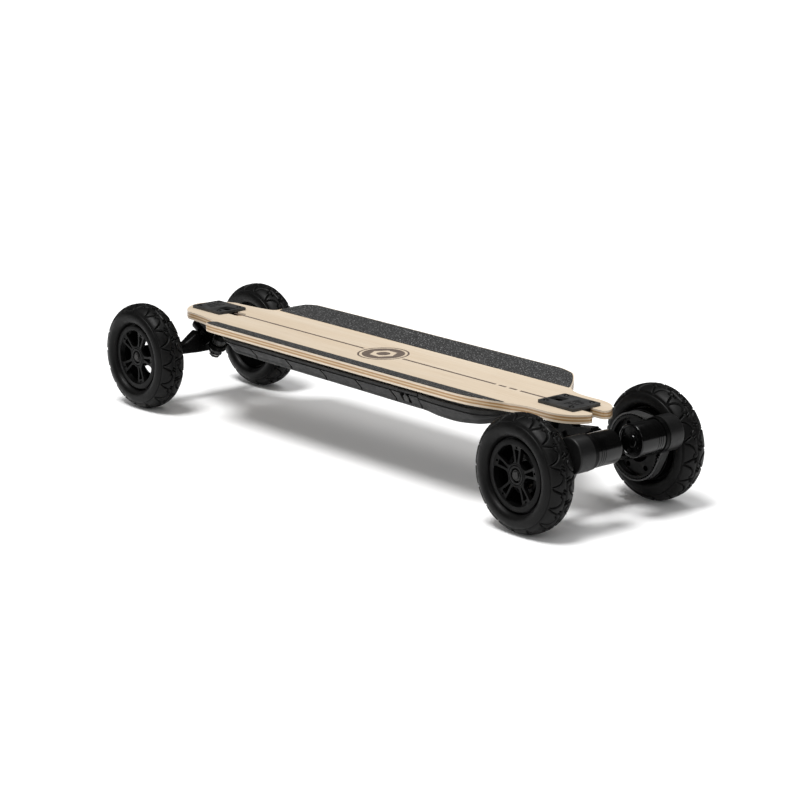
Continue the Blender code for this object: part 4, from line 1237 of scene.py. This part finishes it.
def hub_shape():
    """Hub with a wide rim, five split spokes and a bearing boss, its axis along Z."""
    profile = [(-0.9, 14.3), (15.2, 14.3), (16.4, 15), (16.4, 16.6), (15.6, 17.4), (16.2, 30), (17.4, 40.5),
               (18.2, 44.4), (19, 45.3), (19, 51.8), (18.4, 53), (16.9, 53), (16.7, 47.5), (0, 47.2),
               (-16.7, 47.5), (-16.9, 53), (-18.4, 53), (-19, 52), (-19, 38.2), (-18, 37.2), (-15, 37.2),
               (-14, 38.4), (-12.5, 44.7), (10.2, 44.2),
               (9.4, 17), (-24.5, 17), (-24.5, 9.5), (-0.9, 9.5)]
    cuts = []
    for spoke in range(SPOKES):
        between, middle = wedge(17.6, 41.4, 7.4, 18.4, 5), wedge(18.6, 37.6, 0.9, 4.7, 1.6)
        cuts.append(placed(prism(between, 2 * MM, 30 * MM), polar((spoke + 0.5) / SPOKES, 0)))
        cuts.append(placed(prism(middle, 2 * MM, 30 * MM), polar(spoke / SPOKES, 0)))
        cuts.append(placed(rod(2, 30, 2.0, 20), polar(spoke / SPOKES, HUB_BOLTS)))
    return cut(turned(profile, 120, ring=True), *cuts)


def bearing_shape():
    """Sealed ball bearing: two races with a recessed shield between them."""
    section = [(-0.6, 6.35), (-0.6, 14), (7.0, 14), (7.4, 13.6), (7.4, 12), (6.9, 11.8), (6.9, 8.7),
               (7.4, 8.5), (7.4, 6.8), (7.0, 6.35)]
    return turned(section, 56, ring=True)


def hub_bolt_shape():
    """Cap screw in the end of a split spoke."""
    head = turned([(9, 0), (9, 1.85), (14.4, 1.85), (14.8, 1.5), (14.8, 0)], 28)
    return cut(head, hexagon(1.0 * MM, 12.6 * MM, 17 * MM))


def axle_nut_shape():
    """Locking nut with a collar for its nylon ring."""
    collar = turned([(14, 6.1), (14, 8), (16, 8), (16.4, 7.5), (16.4, 6.1)], 40, ring=True)
    return union(hexagonal(8.4 * MM, 14.6 * MM, 9.5 * MM, 6.1 * MM), collar)


def make_wheels():
    dust_ring = [(7.7, 10.4), (16.2, 10.4), (17, 11.2), (17, 13.2), (16.2, 14.1), (7.7, 14.1)]
    spacer = [(-22, 6.4), (-22, 9.2), (-1.2, 9.2), (-1.2, 6.4)]
    tyre = mesh_of("tyre", tyre_shape(), TYRE)
    hub = mesh_of("hub", hub_shape(), WHEEL_HUB)
    race = mesh_of("bearing", bearing_shape(), STEEL)
    bolt = mesh_of("hub_bolt", hub_bolt_shape(), DARK_STEEL)
    nut = mesh_of("axle_nut", axle_nut_shape(), DARK_STEEL)
    ring = mesh_of("dust_ring", turned(dust_ring, 64, ring=True), HUB)
    spacer = mesh_of("spacer", turned(spacer, 40, ring=True), ALLOY)
    for end, side in itertools.product((NOSE, TAIL), (LEFT, RIGHT)):
        name = f"{END_NAMES[end]}_{SIDE_NAMES[side]}"
        body = f"{name}_wheel"
        centre = Vector((AXLE[end].x, side * WHEEL_Y[end], AXLE_Z))
        plain, spoked = (aimed(centre, (0, side, 0), turn) for turn in (0, FIRST_SPOKE[end, side]))
        for part, mesh, look, stands_for, how in (
                ("tyre_rubber", tyre, TYRE, (f"{name}_tyre",), {"matrix": plain, "angle": 60}),
                ("hub_casting", hub, WHEEL_HUB, (f"{name}_hub",), {"matrix": spoked, "bevel": 0.55}),
                ("bearing_race", race, STEEL, (f"{name}_bearing",), {"matrix": plain}),
                ("dust_ring", ring, HUB, (), {"matrix": plain}),
                ("bearing_spacer", spacer, ALLOY, (), {"matrix": plain})):
            place_mesh(f"{name}_{part}", mesh, look, body, stands_for, **how)
        place_mesh(f"{name}_nyloc_nut", nut, STEEL, f"{END_NAMES[end]}_hanger", (f"{name}_axle_nut",),
                   matrix=plain)
        for spoke in range(SPOKES):
            at = spoked @ polar(spoke / SPOKES, HUB_BOLTS)
            place_mesh(f"{name}_hub_bolt_{spoke + 1}", bolt, DARK_STEEL, body, matrix=at)


# ---- belt drive

def pitch_radius(teeth):
    return teeth * BELT_PITCH / FULL


def facing(centre, side):
    """Matrix along the line through a centre that points out to one side."""
    return aimed(centre, (0, side, 0))


def band_outline(wheel_radius, motor_radius, wheel_steps=64, motor_steps=24, tooth=0.0):
    """Outline of a band round the axle and the motor's line, with teeth on its two free spans."""
    lean = math.asin((wheel_radius - motor_radius) / MOTOR_DISTANCE)
    high, low = MOTOR_LIFT + QUARTER - lean, MOTOR_LIFT - QUARTER + lean
    wheel = arc((0, 0), wheel_radius, high, low + FULL, wheel_steps)
    motor = arc(MOTOR_UW, motor_radius, low, high, motor_steps)
    if not tooth:
        return wheel + motor
    lower_teeth = span_teeth(wheel[-1], motor[0], tooth)
    upper_teeth = span_teeth(motor[-1], wheel[0], tooth)
    return wheel + lower_teeth + motor + upper_teeth


def span_teeth(start, stop, height):
    """Belt teeth along a straight span, on its left-hand side, with both its ends left bare."""
    start, stop = Vector(start), Vector(stop)
    along = (stop - start).normalized()
    inward = Vector((-along.y, along.x))
    count = int(((stop - start).length - BARE_ENDS) / BELT_PITCH)
    first = ((stop - start).length - (count - 1) * BELT_PITCH) / 2
    points = []
    for tooth in range(count):
        middle = start + along * (first + tooth * BELT_PITCH)
        for offset, rise in ((-1.6, 0), (-1.0, 1), (1.0, 1), (1.6, 0)):
            points.append(tuple(middle + along * offset * MM + inward * height * rise))
    return points


def outboard(outline, low, high, side):
    """Prism drawn in the rear truck's side view between two distances out to one side."""
    return placed(prism(outline, *sorted((side * low, side * high))), side_matrix(TAIL))


def make_belt(side):
    name = SIDE_NAMES[side]
    wheel, motor = pitch_radius(WHEEL_TEETH) - 0.3 * MM, pitch_radius(MOTOR_TEETH) - 0.3 * MM
    band = 2.3 * MM
    outer = outboard(band_outline(wheel + band, motor + band), *BELT_Y, side)
    inside = band_outline(wheel, motor, tooth=1.7 * MM)
    hollow = outboard(inside, BELT_Y[0] - 5 * MM, BELT_Y[1] + 5 * MM, side)
    add_piece(f"{name}_toothed_belt", cut(outer, hollow), BELT, "rear_hanger", (f"{name}_belt",),
              bevel=0.25, angle=25)


def toothed(low, high, root, tip, teeth):
    """Toothed wheel along Z, from millimetres."""
    outline = []
    for tooth in range(teeth):
        for share, radius in ((0.0, root), (0.14, tip), (0.5, tip), (0.64, root)):
            angle = FULL * (tooth + share) / teeth
            outline.append((radius * MM * math.cos(angle), radius * MM * math.sin(angle)))
    return prism(outline, low * MM, high * MM)


PULLEY_PORTS = 6
MOTOR_SCREWS = 4


def make_pulleys(side):
    name = SIDE_NAMES[side]
    wheel_at = facing(AXLE[TAIL], side)
    body = f"rear_{name}_wheel"
    hollow = turned([(80, 0), (80, 43.5), (93.6, 43), (93.6, 0)], 96)
    rim = cut(toothed(85.3, 100.3, 46.6, 48.5, WHEEL_TEETH), hollow)
    ports = [placed(rod(80, 110, 4.2, 32), polar(port / PULLEY_PORTS, 35.5 * MM))
             for port in range(PULLEY_PORTS)]
    pulley = cut(union(rim, rod(99, 135, 30, 72)), rod(80, 140, 24, 72), *ports)
    add_piece(f"{name}_wheel_pulley_ring", placed(pulley, wheel_at), HUB, body, (f"{name}_wheel_pulley",),
              bevel=0.35, angle=30)
    shield = placed(flat_ring(52.5, 30.2, 1.5), lifted(103.5 * MM))
    add_piece(f"{name}_pulley_shield", placed(shield, wheel_at), HUB, body, bevel=0.35)
    motor_at = facing(MOTOR_CENTRE, side)
    small = toothed(85, 100.3, 9.6, 11.1, MOTOR_TEETH)
    small = cut(union(small, rod(84, 85, 13.4)), rod(80, 110, 4.35))
    add_piece(f"{name}_motor_pulley_teeth", placed(small, motor_at), STEEL, f"{name}_rotor",
              (f"{name}_motor_pulley",), bevel=0.2)


def make_motor(side):
    name = SIDE_NAMES[side]
    at = facing(MOTOR_CENTRE, side)
    outer = [(20, 0), (20, 9), (20.8, 9.6), (20.8, 20.5), (20, 21), (20, 22.6)]
    outer += arc((22.4, 22.6), 2.4, math.pi, QUARTER, 6)
    for groove in (52.5, 56.5, 60.5):
        outer += [(groove, 25), (groove + 0.25, 24.4), (groove + 0.75, 24.4), (groove + 1.0, 25)]
    outer += [(66.4, 25), (67, 24.6), (67, 22.6), (22.5, 22.6), (22.5, 0)]
    can = placed(turned(outer, 112), at)
    add_piece(f"{name}_motor_can", can, GLOSS, "rear_hanger", (f"{name}_motor_housing",), angle=30)
    screw = turned([(0, 0), (0, 1.9), (-0.7, 1.9), (-1, 1.5), (-1, 0)], 24)
    screw_mesh = mesh_of("motor_screw", screw, GLOSS)
    for number in range(MOTOR_SCREWS):
        matrix = at @ polar((number + 0.3) / MOTOR_SCREWS, 15 * MM, 20.8 * MM)
        place_mesh(f"{name}_motor_screw_{number + 1}", screw_mesh, GLOSS, "rear_hanger", matrix=matrix)
    rotor = [(24, 0), (24, 4), (25, 4), (25, 22), (64, 22), (64, 4), (100.5, 4), (100.8, 3.7), (100.8, 0)]
    add_piece(f"{name}_rotor_bell", placed(turned(rotor, 64), at), STEEL, f"{name}_rotor",
              (f"{name}_motor_rotor",))


def make_mount(side):
    """Alloy plate that clamps the hanger and carries the motor."""
    name = SIDE_NAMES[side]
    body = outboard(band_outline(17 * MM, 26.5 * MM, 40, 64), 67.5 * MM, 74.5 * MM, side)
    slot = millimetres([(-30, -0.7), (0, -0.7), (0, 0.7), (-30, 0.7)])
    slit = outboard(slot, 60 * MM, 80 * MM, side)
    bores = [placed(rod(60, 80, 9.4, 64), facing(AXLE[TAIL], side)),
             placed(rod(60, 80, 6), facing(MOTOR_CENTRE, side))]
    add_piece(f"{name}_mount_plate", cut(body, slit, *bores), TRUCK, "rear_hanger", (f"{name}_motor_mount",),
              bevel=0.9, steps=3)
    clamp = turned([(66.8, 9.4), (66.8, 15.5), (62, 15.5), (61, 14.5), (61, 9.4)], 72, ring=True)
    add_piece(f"{name}_mount_collar", placed(clamp, facing(AXLE[TAIL], side)), TRUCK, "rear_hanger",
              bevel=0.3)


def make_cover(side):
    """Cup over the motor pulley, open towards the wheel pulley."""
    name = SIDE_NAMES[side]
    low, high, radius, wall = 75, 103, 27.3, 1.5
    cup = [(low, radius)] + arc((high - 3, radius - 3), 3, QUARTER, 0, 6) + [(high, 0), (high - wall, 0)]
    cup += [(high - wall, radius - 4)] + arc((high - 4, radius - wall - 2.5), 2.5, 0, QUARTER, 4)
    cup += [(low, radius - wall)]
    shape = placed(turned(cup, 112, ring=True), facing(MOTOR_CENTRE, side))
    to_wheel, square_to_it = slanted(TAIL, MOTOR_LIFT) * -1, slanted(TAIL, MOTOR_LIFT + QUARTER)
    matrix = Matrix((to_wheel, square_to_it, Vector((0, side, 0)))).transposed().to_4x4()
    matrix.translation = MOTOR_CENTRE
    corners = millimetres([(6, -40), (60, 40)])
    opening = placed(block(*corners, 1 * MM, 70 * MM, (high - wall) * MM - GAP), matrix)
    add_piece(f"{name}_cover_cup", cut(shape, opening), COVER, "rear_hanger", (f"{name}_belt_cover",),
              bevel=0.4)


# ---- studio

CAMERA_PLACE = (3.27367, -2.73957, 1.17839)
CAMERA_AZIMUTH, CAMERA_ELEVATION, CAMERA_ROLL = (math.radians(angle) for angle in (49.6975, 14.4113, -0.2123))
LENS, SENSOR = 126.72, 36
TARGET = (0, 0, 0.1)
LIGHTS = [("dome", "SUN", (0, 0, 5), 1.5, {"angle": math.radians(170)}),
          ("key", "SUN", (0, -1.2, 4.0), 3.0, {"angle": math.radians(22)}),
          ("top_softbox", "AREA", (0.5, 0.8, 2.4), 14, {"shape": "RECTANGLE", "size": 2.2, "size_y": 0.8}),
          ("front_softbox", "AREA", (2.2, -2.6, 1.9), 12, {"shape": "RECTANGLE", "size": 0.8, "size_y": 1.6})]
SURROUNDINGS = 0.06
FLOOR_GREY = 0.86


def add_camera():
    """Camera at the photograph's viewing angle, with a slight roll."""
    data = bpy.data.cameras.new("camera")
    data.lens, data.sensor_width = LENS, SENSOR
    data.clip_start, data.clip_end = 0.1, 200
    camera = shown("camera", data)
    camera.location = CAMERA_PLACE
    level = math.cos(CAMERA_ELEVATION)
    back = Vector((math.sin(CAMERA_AZIMUTH) * level, -math.cos(CAMERA_AZIMUTH) * level,
                   math.sin(CAMERA_ELEVATION)))
    turn = back.to_track_quat("Z", "Y").to_matrix() @ Matrix.Rotation(CAMERA_ROLL, 3, "Z")
    camera.rotation_euler = turn.to_euler()
    bpy.context.scene.camera = camera


def add_lights():
    """Even light from all over, a key from above and the near side, and softboxes for the highlights."""
    for name, kind, place, power, settings in LIGHTS:
        data = bpy.data.lights.new(name, kind)
        data.energy = power
        for setting, value in settings.items():
            setattr(data, setting, value)
        light = shown(name, data)
        light.location = place
        light.rotation_euler = (Vector(place) - Vector(TARGET)).to_track_quat("Z", "Y").to_euler()
        light.visible_glossy = name != "dome"


def add_floor():
    shape = bmesh.new()
    bmesh.ops.create_grid(shape, x_segments=1, y_segments=1, size=40)
    look = Look("floor", 0.9)
    look.colour((*grey(FLOOR_GREY), 1))
    look.set("Specular IOR Level", 0.1)
    floor = shown("floor", mesh_of("floor", shape, look))
    floor.location.z = -0.2 * MM


def add_world():
    """Dim surroundings for the reflections, with a white backdrop where the camera looks straight at it."""
    world = bpy.data.worlds.new("studio")
    bpy.context.scene.world = world
    world.use_nodes = True
    nodes, links = world.node_tree.nodes, world.node_tree.links
    seen = nodes.new("ShaderNodeLightPath").outputs["Is Camera Ray"]
    strength = nodes.new("ShaderNodeMapRange")
    strength.inputs["To Min"].default_value = SURROUNDINGS
    links.new(seen, strength.inputs["Value"])
    nodes["Background"].inputs["Color"].default_value = (1, 1, 1, 1)
    links.new(strength.outputs["Result"], nodes["Background"].inputs["Strength"])


def add_studio():
    add_world()
    add_lights()
    add_floor()
    add_camera()
    bpy.context.scene.view_settings.view_transform = "Standard"


# ---- the board

def make_board():
    make_deck()
    make_inlay()
    make_enclosures()
    make_gasket()
    make_charge_port()
    make_power_button()
    make_screws()
    make_electronics()
    for end in (NOSE, TAIL):
        make_baseplate(end)
        make_kingpins(end)
        make_bushings(end)
        make_link(end)
        make_hanger(end)
    make_wheels()
    for side in (LEFT, RIGHT):
        make_grip(side)
        make_belt(side)
        make_pulleys(side)
        make_motor(side)
        make_mount(side)
        make_cover(side)


make_board()
add_studio()
